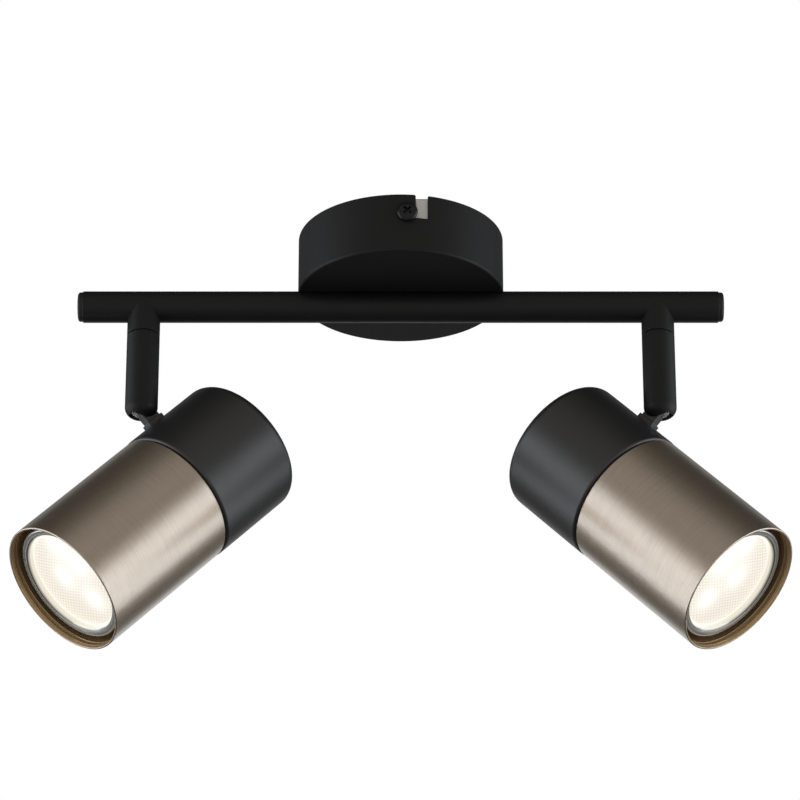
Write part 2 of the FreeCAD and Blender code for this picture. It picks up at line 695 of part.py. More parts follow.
# Wire bush: a flanged sleeve through the hump and the tube's wall.
bush = new_body("wire_bush", moved(z="-" + TROUGH_TOP_DROP))
turned(bush, "bush", [
    ("bush_bore", "-(canopy_wall + trough_clearance + bar_wall + bush_reach)"),
    ("bush_radius", "-(canopy_wall + trough_clearance + bar_wall + bush_reach)"),
    ("bush_radius", "0"),
    ("bush_flange", "0"),
    ("bush_flange", "bush_flange_thick"),
    ("bush_bore", "bush_flange_thick"),
])

# The stop pins stand on the side to which the heads lean at rest.
STOP_PIN_Y = "-stop_pin_offset * sin(head_turn)"


def stop_pin_x(sign):
    return "%d * stop_pin_offset * cos(head_turn)" % sign


# Stubs: short turned pieces, saddled to the bar's underside and brazed to it. The floor of each
# has the swivel's bore.
for side, sign in SIDES:
    stub = new_body(side + "_stub", moved("%d * %s" % (sign, ARM_SPREAD), "0", "-" + BAR_DROP))
    turned(stub, "stub", [
        ("stem_radius + swivel_clearance", "-stub_length"),
        ("arm_radius - groove_edge", "-stub_length"),
        ("arm_radius", "groove_edge - stub_length"),
        ("arm_radius", "-stub_saddle_gap"),
        ("stub_bore", "-stub_saddle_gap"),
        ("stub_bore", "stub_floor - stub_length"),
        ("stem_radius + swivel_clearance", "stub_floor - stub_length"),
    ])
    saddle = new_sketch(stub, "YZ_Plane", "saddle_circle")
    circle(saddle, "0", "0", "bar_radius")
    pocketed(stub, saddle, "saddle", "2 * (arm_radius + cut_margin)", both=True)
    pin_hole = new_sketch(stub, "XY_Plane", "pin_hole_circle", "stub_floor - stub_length")
    circle(pin_hole, stop_pin_x(sign), STOP_PIN_Y, "stop_pin_radius")
    pocketed(stub, pin_hole, "pin_hole", "stub_floor + cut_margin")


def arm_frame(sign):
    """An arm's frame: its hinge axis crosses the origin, +X points the way the head leans."""
    turn = FreeCAD.Rotation(FreeCAD.Vector(0, 0, 1), number("180 + head_turn" if sign < 0 else "-head_turn"))
    return moved("%d * %s" % (sign, ARM_SPREAD), "0", "-" + HINGE_DROP, turn)


def head_frame(sign):
    """A head's frame: +Z runs along the head to its mouth, +X points from its axis to the hinge."""
    lean = FreeCAD.Rotation(FreeCAD.Vector(0, 1, 0), -number("head_tilt"))
    flip = FreeCAD.Rotation(FreeCAD.Vector(1, 0, 0), 180)
    hinge = FreeCAD.Placement(FreeCAD.Vector(), lean * flip)
    return arm_frame(sign) * hinge * moved("-hinge_offset")


# Stop pins: one in each stub's floor. It runs in the collar's ring groove, whose land stops it.
stop_pins = new_body("stop_pins", moved(z="-%s - stub_length" % BAR_DROP))
stop_plan = new_sketch(stop_pins, "XY_Plane", "stop_pin_circles", "-stop_pin_stick_out")
for side, sign in SIDES:
    pin_x = "%d * %s + %s" % (sign, ARM_SPREAD, stop_pin_x(sign))
    circle(stop_plan, pin_x, STOP_PIN_Y, "stop_pin_radius")
padded(stop_pins, stop_plan, "stop_pin_shanks", "stub_floor + stop_pin_stick_out")

for side, sign in SIDES:
    frame = arm_frame(sign)
    far = sign

    # Swivel stem: turned in one piece. Its plug fits the arm's tube, its collar closes the tube,
    # and its hollow stem passes up through the stub's floor.
    stem = new_body(side + "_swivel_stem", frame * moved(z=ARM_TOP))
    turned(stem, "stem", [
        ("stem_bore", "-stem_plug_length"),
        ("arm_bore - plug_clearance", "-stem_plug_length"),
        ("arm_bore - plug_clearance", "0"),
        ("arm_radius", "0"),
        ("arm_radius", "collar_thick - groove_edge"),
        ("arm_radius - groove_edge", "collar_thick"),
        ("stem_radius", "collar_thick"),
        ("stem_radius", STEM_TOP),
        ("stem_bore", STEM_TOP),
    ])
    turned(stem, "stop_groove", [
        ("stop_pin_offset - stop_groove_width / 2", "collar_thick - stop_groove_depth"),
        ("stop_pin_offset + stop_groove_width / 2", "collar_thick - stop_groove_depth"),
        ("stop_pin_offset + stop_groove_width / 2", "collar_thick + swivel_gap / 2"),
        ("stop_pin_offset - stop_groove_width / 2", "collar_thick + swivel_gap / 2"),
    ], "stop_groove_angle", cut=True)

    # Spring washer that loads the swivel, on the stub's floor.
    FLOOR_TOP = "(%s + %s)" % (ARM_TOP, STUB_SEAT)
    washer = new_body(side + "_spring_washer", frame * moved(z=FLOOR_TOP + " + thread_clearance"))
    washer_plan = new_sketch(washer, "XY_Plane", "washer_circles")
    circle(washer_plan, "0", "0", "spring_washer_radius")
    circle(washer_plan, "0", "0", "stem_radius + thread_clearance")
    padded(washer, washer_plan, "washer", "spring_washer_thick - thread_clearance")

    # Swivel nut: a thin hexagon nut on the stem.
    nut = new_body(side + "_swivel_nut", frame * moved(z=FLOOR_TOP + " + spring_washer_thick"))
    nut_plan = new_sketch(nut, "XY_Plane", "nut_outline")
    hexagon(nut_plan, "swivel_nut_radius")
    circle(nut_plan, "0", "0", "stem_radius + thread_clearance / 2")
    padded(nut, nut_plan, "nut", "swivel_nut_height")

    # Arm: tube with a domed end. A web closes the bore over the hinge slot. The slot is open
    # below and on the side away from the lean, so that the head can hang and can lie level.
    arm = new_body(side + "_arm", frame)
    turned(arm, "tube", [
        ("0", "-hinge_rise"),
        ("arm_radius - arm_dome", "-hinge_rise"),
        ("arm_radius", "arm_dome - hinge_rise", "arm_dome"),
        ("arm_radius", ARM_TOP),
        ("arm_bore", ARM_TOP),
        ("arm_bore", "arm_web_top"),
        ("0", "arm_web_top"),
    ])
    web_hole = new_sketch(arm, "XY_Plane", "web_hole_circle")
    circle(web_hole, "0", "0", "arm_web_hole")
    pocketed(arm, web_hole, "web_hole", "arm_web_top + cut_margin", along=True)
    slot = new_sketch(arm, "XZ_Plane", "slot_outline")
    outline(slot, [
        ("slot_radius", "-(hinge_rise + cut_margin)"),
        ("slot_radius", "0"),
        ("-sqrt(slot_radius ^ 2 - slot_side_rise ^ 2)", "slot_side_rise", "slot_radius"),
        ("-(arm_radius + cut_margin)", "slot_side_rise"),
        ("-(arm_radius + cut_margin)", "-(hinge_rise + cut_margin)"),
    ])
    pocketed(arm, slot, "hinge_slot", "slot_width", both=True)
    near_hole = new_sketch(arm, "XZ_Plane", "near_hole_circle")
    circle(near_hole, "0", "0", "tilt_screw_radius + thread_clearance")
    pocketed(arm, near_hole, "near_hole", "tilt_screw_reach + thread_clearance", along=far > 0)
    far_hole = new_sketch(arm, "XZ_Plane", "far_hole_circle")
    circle(far_hole, "0", "0", "tilt_screw_radius + tilt_clearance")
    pocketed(arm, far_hole, "far_hole", "tilt_seat + cut_margin / 2", along=far < 0)
    seat = new_sketch(arm, "XZ_Plane", "seat_circle", "%d * tilt_seat" % -far)
    circle(seat, "0", "0", "tilt_head_radius + tilt_clearance")
    pocketed(arm, seat, "screw_seat", "arm_radius", along=far < 0)

    # Tilt screw: it enters from behind, and its head is sunk flush in the arm.
    across = frame * moved(rotation=pointing(0, far, 0))
    tilt_screw = new_body(side + "_tilt_screw", across)
    turned(tilt_screw, "tilt_screw", [
        ("0", "-tilt_screw_reach"),
        ("tilt_screw_radius", "-tilt_screw_reach"),
        ("tilt_screw_radius", "tilt_seat"),
        ("tilt_head_radius", "tilt_seat"),
        ("tilt_head_radius", "tilt_seat + tilt_head_height"),
        ("0", "tilt_seat + tilt_head_height"),
    ])

    # Friction washers: one on each side of the hub, squeezed by the tilt screw.
    washers = new_body(side + "_friction_washers", across)
    ring_plan = new_sketch(washers, "XY_Plane", "friction_ring", "hub_thick / 2 + friction_gap")
    circle(ring_plan, "0", "0", "friction_washer_radius")
    circle(ring_plan, "0", "0", "tilt_screw_radius + tilt_clearance")
    first = padded(washers, ring_plan, "friction_washer", "(slot_width - hub_thick) / 2 - friction_gap")
    mirrored(washers, "friction_washer_pair", [first], "XY_Plane")

    # Leads inside the arm, from the top of the stem to the hinge slot.
    arm_leads = new_body(side + "_arm_leads", frame)
    lead_plan = new_sketch(arm_leads, "XY_Plane", "lead_circles", "slot_radius")
    circle(lead_plan, "lead_lane", "0", "lead_radius")
    circle(lead_plan, "-lead_lane", "0", "lead_radius")
    padded(arm_leads, lead_plan, "leads", "%s + %s - slot_radius" % (ARM_TOP, STEM_TOP))

for side, sign in SIDES:
    frame = head_frame(sign)

    # Hinge hub: a bare steel disc on the tilt screw. The leads run in the groove of its rim.
    hub = new_body(side + "_hinge_hub", frame * moved("hinge_offset", rotation=pointing(0, 1, 0)))
    turned(hub, "hub", [
        ("tilt_screw_radius + tilt_clearance", "-hub_thick / 2"),
        ("hub_radius - hub_edge", "-hub_thick / 2"),
        ("hub_radius", "hub_edge - hub_thick / 2"),
        ("hub_radius", "-hub_groove_width / 2"),
        ("hub_groove_floor", "-hub_groove_width / 2"),
        ("hub_groove_floor", "hub_groove_width / 2"),
        ("hub_radius", "hub_groove_width / 2"),
        ("hub_radius", "hub_thick / 2 - hub_edge"),
        ("hub_radius - hub_edge", "hub_thick / 2"),
        ("tilt_screw_radius + tilt_clearance", "hub_thick / 2"),
    ])

    # Hinge lug: a flat neck on a stepped foot that is saddled to the cup. A hollow threaded
    # spigot leads through the cup's wall. The top is hollowed to seat the hub.
    lug = new_body(side + "_hinge_lug", frame)
    foot = new_sketch(lug, "YZ_Plane", "foot_outline", "cup_radius - foot_height")
    rectangle(foot, "-foot_thick / 2", "-foot_width / 2", "foot_thick / 2", "foot_width / 2")
    padded(lug, foot, "foot", "2 * foot_height")
    dressed(lug, "PartDesign::Chamfer", "foot_edges", "foot_edge",
            lambda edge, middle: middle.x > number("cup_radius + foot_height / 2"))
    neck = new_sketch(lug, "YZ_Plane", "neck_outline", "cup_radius")
    rectangle(neck, "-neck_thick / 2", "-neck_width / 2", "neck_thick / 2", "neck_width / 2")
    padded(lug, neck, "neck", "hinge_offset - cup_radius")
    dressed(lug, "PartDesign::Chamfer", "neck_edges", "neck_edge",
            lambda edge, middle: abs(middle.y) > number("neck_thick / 2 - neck_edge")
            and abs(middle.z) > number("neck_width / 2 - neck_edge")
            and middle.x > number("cup_radius + foot_height"))
    turned(lug, "saddle", [
        ("0", "-foot_width"),
        ("cup_radius", "-foot_width"),
        ("cup_radius", "foot_width"),
        ("0", "foot_width"),
    ], cut=True)
    spigot = new_sketch(lug, "YZ_Plane", "spigot_circle", "cup_radius - spigot_length")
    circle(spigot, "0", "0", "spigot_radius")
    padded(lug, spigot, "spigot", "spigot_length + foot_height / 2")
    hub_seat = new_sketch(lug, "XZ_Plane", "hub_seat_circle")
    circle(hub_seat, "hinge_offset", "0", "hub_radius")
    pocketed(lug, hub_seat, "hub_seat", "neck_thick + cut_margin", both=True)
    channel = new_sketch(lug, "YZ_Plane", "channel_outline", "cup_radius")
    rectangle(channel, "-hub_groove_width / 2", "-channel_width / 2",
              "hub_groove_width / 2", "channel_width / 2")
    pocketed(lug, channel, "channel", "hinge_offset - cup_radius", along=True)
    spigot_bore = new_sketch(lug, "YZ_Plane", "spigot_bore_circle", "cup_radius + foot_height / 2")
    circle(spigot_bore, "0", "0", "spigot_bore")
    pocketed(lug, spigot_bore, "spigot_bore_cut", "spigot_length + foot_height")

    # Lug nut: a thin hexagon nut inside the cup, which also clamps the holder's bracket.
    nut_place = moved(STRIP_FACE + " - strip_thick", rotation=pointing(-1, 0, 0))
    lug_nut = new_body(side + "_lug_nut", frame * nut_place)
    nut_plan = new_sketch(lug_nut, "XY_Plane", "nut_outline")
    hexagon(nut_plan, "lug_nut_radius")
    circle(nut_plan, "0", "0", "spigot_radius + thread_clearance / 2")
    padded(lug_nut, nut_plan, "nut", "lug_nut_height")

    # Rear cup: a spun cup with a rounded back and a rounded lip.
    cup = new_body(side + "_cup", frame)
    turned(cup, "cup_shell", [
        ("0", CUP_BACK),
        ("cup_radius - cup_round", CUP_BACK),
        ("cup_radius", CUP_BACK + " + cup_round", "cup_round"),
        ("cup_radius", "lip_reach - cup_lip"),
        ("cup_radius - cup_lip", "lip_reach", "cup_lip"),
        (CUP_INSIDE, "lip_reach"),
        (CUP_INSIDE, CUP_BACK + " + cup_round"),
        ("cup_radius - cup_round", CUP_BACK + " + cup_wall"),
        ("0", CUP_BACK + " + cup_wall"),
    ])
    spigot_hole = new_sketch(cup, "YZ_Plane", "spigot_hole_circle")
    circle(spigot_hole, "0", "0", "spigot_radius + thread_clearance")
    pocketed(cup, spigot_hole, "spigot_hole", "cup_radius + cut_margin", along=True)

    # Shade: a brushed tube. Its rear end is necked to plug into the cup, and two rolled beads
    # stiffen the mouth inside.
    shade = new_body(side + "_shade", frame)
    SHADE_INSIDE = "(shade_radius - shade_wall)"
    SHOULDER = "(lip_reach + shade_gap)"
    beads = []
    for depth in ("bead_depth", "(bead_depth + bead_pitch)"):
        beads.append((SHADE_INSIDE, "%s - %s + bead_half_width" % (MOUTH, depth)))
        beads.append((SHADE_INSIDE + " - bead_height", "%s - %s" % (MOUTH, depth)))
        beads.append((SHADE_INSIDE, "%s - %s - bead_half_width" % (MOUTH, depth)))
    turned(shade, "shade_wall_turn", [
        (NECK_OUT + " - shade_wall", NECK_BACK),
        (NECK_OUT, NECK_BACK),
        (NECK_OUT, SHOULDER),
        ("shade_radius", SHOULDER),
        ("shade_radius", MOUTH + " - mouth_edge"),
        ("shade_radius - mouth_edge", MOUTH),
        (SHADE_INSIDE + " + mouth_edge", MOUTH),
        (SHADE_INSIDE, MOUTH + " - mouth_edge"),
    ] + beads + [
        (SHADE_INSIDE, SHOULDER + " + shade_wall"),
        (NECK_OUT + " - shade_wall", SHOULDER + " + shade_wall"),
    ])

    # Holder bracket: a bent strip, held to the cup by the lug's spigot and nut. It is joggled
    # inwards to pass the shade's neck.
    holder_bracket = new_body(side + "_holder_bracket", frame)
    strip = new_sketch(holder_bracket, "XZ_Plane", "strip_outline")
    STRIP_OUT = "(strip_bend + strip_thick)"
    outline(strip, [
        (STRIP_FACE, "-strip_tail"),
        (STRIP_FACE, "strip_joggle"),
        (STRIP_INNER_FACE, NECK_BACK + " - strip_joggle_gap"),
        (STRIP_INNER_FACE, "%s - %s" % (HOLDER_BASE, STRIP_OUT)),
        ("%s - %s" % (STRIP_INNER_FACE, STRIP_OUT), HOLDER_BASE, STRIP_OUT),
        ("-strip_reach", HOLDER_BASE),
        ("-strip_reach", HOLDER_BASE + " - strip_thick"),
        ("%s - %s" % (STRIP_INNER_FACE, STRIP_OUT), HOLDER_BASE + " - strip_thick"),
        (STRIP_INNER_FACE + " - strip_thick", "%s - %s" % (HOLDER_BASE, STRIP_OUT), "-strip_bend"),
        (STRIP_INNER_FACE + " - strip_thick", NECK_BACK + " - strip_joggle_gap"),
        (STRIP_FACE + " - strip_thick", "strip_joggle"),
        (STRIP_FACE + " - strip_thick", "-strip_tail"),
    ])
    padded(holder_bracket, strip, "strip", "strip_width", both=True)
    strip_hole = new_sketch(holder_bracket, "YZ_Plane", "spigot_hole_circle")
    circle(strip_hole, "0", "0", "spigot_radius + thread_clearance")
    pocketed(holder_bracket, strip_hole, "spigot_hole", "cup_radius", along=True)
    screw_holes = new_sketch(holder_bracket, "XY_Plane", "screw_hole_circles")
    for x in ("-holder_screw_offset", "holder_screw_offset"):
        circle(screw_holes, x, "0", "holder_screw_radius + thread_clearance")
    pocketed(holder_bracket, screw_holes, "screw_holes", HOLDER_BASE + " + cut_margin", along=True)

    # Lamp holder: ceramic, with two pin sockets in front and two tapped holes behind.
    holder = new_body(side + "_lamp_holder", frame * moved(z=HOLDER_BASE))
    holder_plan = new_sketch(holder, "XY_Plane", "holder_outline")
    FLAT_END = "sqrt(holder_radius ^ 2 - holder_half_width ^ 2)"
    outline(holder_plan, [
        (FLAT_END, "-holder_half_width"),
        (FLAT_END, "holder_half_width", "holder_radius"),
        ("-" + FLAT_END, "holder_half_width"),
        ("-" + FLAT_END, "-holder_half_width", "holder_radius"),
    ])
    padded(holder, holder_plan, "holder_block", "holder_height")
    sockets = new_sketch(holder, "XY_Plane", "socket_circles", "holder_height")
    tapped = new_sketch(holder, "XY_Plane", "tapped_hole_circles")
    lead_holes = new_sketch(holder, "XY_Plane", "lead_hole_circles")
    for mark in ("-", ""):
        circle(sockets, mark + "pin_spacing / 2", "0", "socket_radius")
        circle(tapped, mark + "holder_screw_offset", "0", "holder_screw_radius + thread_clearance")
        circle(lead_holes, "0", mark + "lead_side", "lead_radius + plug_clearance")
    pocketed(holder, sockets, "sockets", "socket_depth")
    pocketed(holder, tapped, "tapped_holes", "holder_screw_length + thread_clearance", along=True)
    pocketed(holder, lead_holes, "lead_holes", "holder_screw_length", along=True)
    dressed(holder, "PartDesign::Chamfer", "holder_edges", "holder_edge",
            lambda edge, middle: middle.z > number("holder_height") - number("holder_edge") / 2
            and math.hypot(middle.x, middle.y) > number("holder_half_width") - number("holder_edge") / 2)

    # Holder screws, from behind through the strip.
    screw_place = moved("holder_screw_offset", "0", HOLDER_BASE + " - strip_thick")
    holder_screws = new_body(side + "_holder_screws", frame * screw_place)
    holder_screw = turned(holder_screws, "holder_screw", [
        ("0", "-holder_screw_head_height"),
        ("holder_screw_head", "-holder_screw_head_height"),
        ("holder_screw_head", "0"),
        ("holder_screw_radius", "0"),
        ("holder_screw_radius", "strip_thick + holder_screw_length"),
        ("0", "strip_thick + holder_screw_length"),
    ])
    pair = repeated(holder_screws, "PartDesign::LinearPattern", "holder_screw_pair", [holder_screw],
                    Direction=axis_of(holder_screws, "X_Axis"), Reversed=True, Occurrences=2)
    pair.setExpression("Length", bound("2 * holder_screw_offset"))

    # Lamp base: the moulded base with the driver's column, which carries the lamp's board.
    lamp_base = new_body(side + "_lamp_base", frame * moved(z=LAMP_SHOULDER))
    COLUMN_TOP = "(lamp_length - board_set_back)"
    turned(lamp_base, "base", [
        ("0", "0"),
        ("lamp_base_radius - lamp_base_edge", "0"),
        ("lamp_base_radius", "lamp_base_edge"),
        ("lamp_base_radius", "lamp_base_length"),
        ("driver_radius", "lamp_base_length"),
        ("driver_radius", COLUMN_TOP),
        ("0", COLUMN_TOP),
    ])

    # Lamp pins: two pins with a widened foot, which lock in the holder.
    lamp_pins = new_body(side + "_lamp_pins", frame * moved("pin_spacing / 2", "0", LAMP_SHOULDER))
    lamp_pin = turned(lamp_pins, "lamp_pin", [
        ("0", "-pin_length"),
        ("pin_foot_radius", "-pin_length"),
        ("pin_foot_radius", "pin_foot_height - pin_length"),
        ("pin_radius", "pin_foot_height - pin_length"),
        ("pin_radius", "0"),
        ("0", "0"),
    ])
    pair = repeated(lamp_pins, "PartDesign::LinearPattern", "lamp_pin_pair", [lamp_pin],
                    Direction=axis_of(lamp_pins, "X_Axis"), Reversed=True, Occurrences=2)
    pair.setExpression("Length", bound("pin_spacing"))

    # Lamp glass: the reflector bowl, with a thick rounded rim round the lens.
    glass = new_body(side + "_lamp_glass", frame)
    RIM_BACK = "(%s - glass_rim_height)" % LAMP_FACE
    LENS_SEAT = "(%s - lens_set_back - lens_thick)" % LAMP_FACE
    bowl = []
    for height_share in BOWL_SHARES:
        radius = "lamp_base_radius + (lamp_radius - lamp_base_radius) * %r" % height_share ** BOWL_POWER
        bowl.append((radius, "%s + (%s - %s) * %r" % (GLASS_NECK, RIM_BACK, GLASS_NECK, height_share)))
    turned(glass, "bowl", bowl + [
        ("lamp_radius", LAMP_FACE + " - glass_rim_edge"),
        ("lamp_radius - glass_rim_edge", LAMP_FACE),
        ("lens_radius + lens_clearance + glass_rim_edge", LAMP_FACE),
        ("lens_radius + lens_clearance", LAMP_FACE + " - glass_rim_edge"),
        ("lens_radius + lens_clearance", LENS_SEAT),
        ("lens_radius - lens_edge_step", LENS_SEAT),
        ("lens_radius - lens_edge_step", LENS_SEAT + " - glass_wall"),
    ] + [(radius + " - glass_wall", height) for radius, height in reversed(bowl[:-1])])

    # Lens: a pressed cover plate, slightly crowned, that sits on a step of the rim.
    lens = new_body(side + "_lamp_lens", frame * moved(z=LENS_SEAT))
    turned(lens, "lens", [
        ("0", "0"),
        ("lens_radius", "0"),
        ("lens_radius", "lens_thick - lens_bulge_radius + sqrt(lens_bulge_radius ^ 2 - lens_radius ^ 2)"),
        ("0", "lens_thick", "lens_bulge_radius"),
    ])

    # Board with three light sources, on the driver's column.
    board = new_body(side + "_led_board", frame * moved(z=BOARD_BACK))
    board_plan = new_sketch(board, "XY_Plane", "board_circle")
    circle(board_plan, "0", "0", "board_radius")
    padded(board, board_plan, "board", "board_thick")
    led_plan = new_sketch(board, "XY_Plane", "led_outline", "board_thick")
    rectangle(led_plan, "led_offset - led_size / 2", "-led_size / 2",
              "led_offset + led_size / 2", "led_size / 2")
    led = padded(board, led_plan, "led", "led_height")
    around(board, "leds", [led], 3)


def lead(route):
    """An insulated lead along straight runs joined by arcs as large as the runs allow."""
    places = [FreeCAD.Vector(*[number(text) for text in point]) for point in route]
    edges = []
    start = places[0]
    for before, corner, after in zip(places, places[1:], places[2:]):
        come = (before - corner).normalize()
        go = (after - corner).normalize()
        half_turn = (math.pi - come.getAngle(go)) / 2
        reach = BEND_SHARE * min((before - corner).Length, (after - corner).Length)
        radius = reach / math.tan(half_turn)
        middle = corner + (come + go).normalize() * (radius / math.cos(half_turn) - radius)
        edges.append(Part.LineSegment(start, corner + come * reach).toShape())
        edges.append(Part.Arc(corner + come * reach, middle, corner + go * reach).toShape())
        start = corner + go * reach
    edges.append(Part.LineSegment(start, places[-1]).toShape())
    path = Part.Wire(edges)
    tip = Part.Circle(places[0], places[1] - places[0], number("lead_radius")).toShape()
    solid = path.makePipeShell([Part.Wire([tip])], True, False)
    expected = math.pi * number("lead_radius") ** 2 * path.Length
    ratio = solid.Volume / expected
    print("lead of %.1f mm, volume over section times length %.4f" % (path.Length, ratio))
    return solid


def new_leads(label, routes, placement=None):
    feature = doc.addObject("Part::Feature", label)
    feature.Label = label
    feature.Shape = Part.makeCompound([lead(route) for route in routes])
    feature.Placement = placement or FreeCAD.Placement()
    nodes[label] = feature


# Leads in the bar: from each pole one lead to each arm. They drop beside the block, pass under
# its towers to the bush, lie in the tube, two and two, and turn down over the stubs.
POLE_LEVEL = "-(bracket_thick + pole_drop)"
STUB_END = "-(%s + stub_length - %s + collar_thick + swivel_gap - lead_end_gap)" % (BAR_DROP, STEM_TOP)
routes = []
for side, sign in SIDES:
    for pole in (-1, 1):
        inner = pole == sign
        lane_x = "%d * lead_lane" % pole
        lane_y = "%d * lead_lane" % sign
        pole_x = "%d * pole_offset" % pole
        pole_z = "%s - %d * lead_pole_lane" % (POLE_LEVEL, sign)
        drop_y = "%d * lead_pole_lane - block_length / 2 - lead_run_out" % sign
        drop_z = "%d * lead_pole_lane - lead_entry_drop" % sign
        bar_z = "-(%s + lead_bar_drop) + %d * lead_lane" % (BAR_DROP, 1 if inner else -1)
        stub_x = "%d * (%s + %d * lead_lane)" % (sign, ARM_SPREAD, 1 if inner else -1)
        routes.append([
            (pole_x, "-block_length / 2", pole_z),
            (pole_x, drop_y, pole_z),
            (pole_x, drop_y, drop_z),
            (lane_x, lane_y, drop_z),
            (lane_x, lane_y, bar_z),
            (stub_x, lane_y, bar_z),
            (stub_x, lane_y, STUB_END),
        ])
new_leads("bar_leads", routes)

# Leads in each head: from the lug's channel through the cup to the back of the holder.
for side, sign in SIDES:
    routes = []
    for lane in (-1, 1):
        lane_z = "%d * lead_lane" % lane
        lane_y = "%d * lead_side" % lane
        routes.append([
            ("hinge_offset - hub_radius - lead_end_gap", "0", lane_z),
            ("lead_turn_in", "0", lane_z),
            ("lead_rise", lane_y, "%s - lead_turn_in" % HOLDER_BASE),
            ("0", lane_y, "%s - lead_rise" % HOLDER_BASE),
            ("0", lane_y, HOLDER_BASE + " + holder_screw_length - lead_end_gap"),
        ])
    new_leads(side + "_head_leads", routes, head_frame(sign))

doc.recompute()
for item in doc.Objects:
    if "Invalid" in item.State or "Error" in item.State:
        raise RuntimeError("%s failed: %s" % (item.Label, item.State))
for name, item in nodes.items():
    if item.Shape.isNull() or not item.Shape.isValid():
        raise RuntimeError("%s has no valid shape" % name)
os.makedirs("parts", exist_ok=True)
for name, item in nodes.items():
    item.Shape.exportStep("parts/%s.step" % name)
    print("%s: %d solid(s), %.1f mm3" % (name, len(item.Shape.Solids), item.Shape.Volume))
print("%d nodes written" % len(nodes))
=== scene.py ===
import math

import bmesh
import bpy
from mathutils import Matrix, Vector


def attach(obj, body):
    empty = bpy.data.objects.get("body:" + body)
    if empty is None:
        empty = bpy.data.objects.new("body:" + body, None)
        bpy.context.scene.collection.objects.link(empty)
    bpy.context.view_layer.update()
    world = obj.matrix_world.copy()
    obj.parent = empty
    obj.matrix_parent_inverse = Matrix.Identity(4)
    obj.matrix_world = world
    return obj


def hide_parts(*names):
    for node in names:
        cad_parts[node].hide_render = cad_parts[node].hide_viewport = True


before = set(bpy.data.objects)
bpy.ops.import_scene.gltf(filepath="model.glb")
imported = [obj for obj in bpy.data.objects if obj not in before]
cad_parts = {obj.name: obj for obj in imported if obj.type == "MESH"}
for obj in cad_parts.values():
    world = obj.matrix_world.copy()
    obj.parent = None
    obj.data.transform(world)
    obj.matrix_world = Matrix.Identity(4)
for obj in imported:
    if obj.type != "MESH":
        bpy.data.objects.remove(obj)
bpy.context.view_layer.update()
scene = bpy.context.scene

# Ceiling bracket: a strip of zinc coated steel with two slots and two turned-down ears, screwed
# to the ceiling. One ear shows in the canopy's notch. The zinc is dull, with faint spangles.
MM = 0.001
SAME_PLACE = 0.000002
UPRIGHT = Matrix.Identity(4)


def new_material(label, base, rough, metal=0.0, specular=0.5):
    """A material, its node tree and its Principled shader."""
    made = bpy.data.materials.new(label)
    made.use_nodes = True
    tree = made.node_tree
    shader = tree.nodes["Principled BSDF"]
    shader.inputs["Base Color"].default_value = (*base, 1.0)
    shader.inputs["Roughness"].default_value = rough
    shader.inputs["Metallic"].default_value = metal
    shader.inputs["Specular IOR Level"].default_value = specular
    return made, tree, shader


def new_group(label, takes, gives):
    """A shader node group with named float or vector inputs and outputs."""
    group = bpy.data.node_groups.new(label, "ShaderNodeTree")
    for name, value in takes:
        kind = "NodeSocketVector" if value is None else "NodeSocketFloat"
        socket = group.interface.new_socket(name, in_out="INPUT", socket_type=kind)
        if value is not None:
            socket.default_value = value
    for name in gives:
        group.interface.new_socket(name, in_out="OUTPUT", socket_type="NodeSocketFloat")
    return group, group.nodes.new("NodeGroupInput"), group.nodes.new("NodeGroupOutput")


def math_node(tree, operation, first, second=None):
    """A Math node whose operands are numbers or sockets."""
    node = tree.nodes.new("ShaderNodeMath")
    node.operation = operation
    for slot, value in zip(node.inputs, (first, second)):
        if isinstance(value, bpy.types.NodeSocket):
            tree.links.new(value, slot)
        elif value is not None:
            slot.default_value = value
    return node.outputs[0]


def spread(tree, value, low, high):
    """Maps 0 to 1 onto low to high."""
    node = tree.nodes.new("ShaderNodeMapRange")
    tree.links.new(value, node.inputs["Value"])
    node.inputs["To Min"].default_value = low
    node.inputs["To Max"].default_value = high
    return node.outputs[0]


def blend_colours(tree, share, first, second):
    """Mixes two colours, each given as numbers or as a socket."""
    node = tree.nodes.new("ShaderNodeMix")
    node.data_type = "RGBA"
    tree.links.new(share, node.inputs["Factor"])
    for socket, colour in ((node.inputs["A"], first), (node.inputs["B"], second)):
        if isinstance(colour, bpy.types.NodeSocket):
            tree.links.new(colour, socket)
        else:
            socket.default_value = (*colour, 1.0)
    return node.outputs["Result"]


def bumped(tree, shader, height, strength, distance):
    """Feeds a height to the shader's normal."""
    node = tree.nodes.new("ShaderNodeBump")
    node.inputs["Strength"].default_value = strength
    node.inputs["Distance"].default_value = distance
    tree.links.new(height, node.inputs["Height"])
    tree.links.new(node.outputs["Normal"], shader.inputs["Normal"])


# Grain that moulded, cast, coated and plated surfaces share: fine bumps and a slow mottle.
grain_group, grain_in, grain_out = new_group(
    "surface_grain", [("Position", None), ("Grain size", 0.0004), ("Patch size", 0.006)],
    ["Height", "Mottle"])
for output, size_name, detail in (("Height", "Grain size", 2.0), ("Mottle", "Patch size", 4.0)):
    noise = grain_group.nodes.new("ShaderNodeTexNoise")
    noise.inputs["Detail"].default_value = detail
    per_metre = math_node(grain_group, "DIVIDE", 1.0, grain_in.outputs[size_name])
    grain_group.links.new(grain_in.outputs["Position"], noise.inputs["Vector"])
    grain_group.links.new(per_metre, noise.inputs["Scale"])
    grain_group.links.new(noise.outputs["Fac"], grain_out.inputs[output])


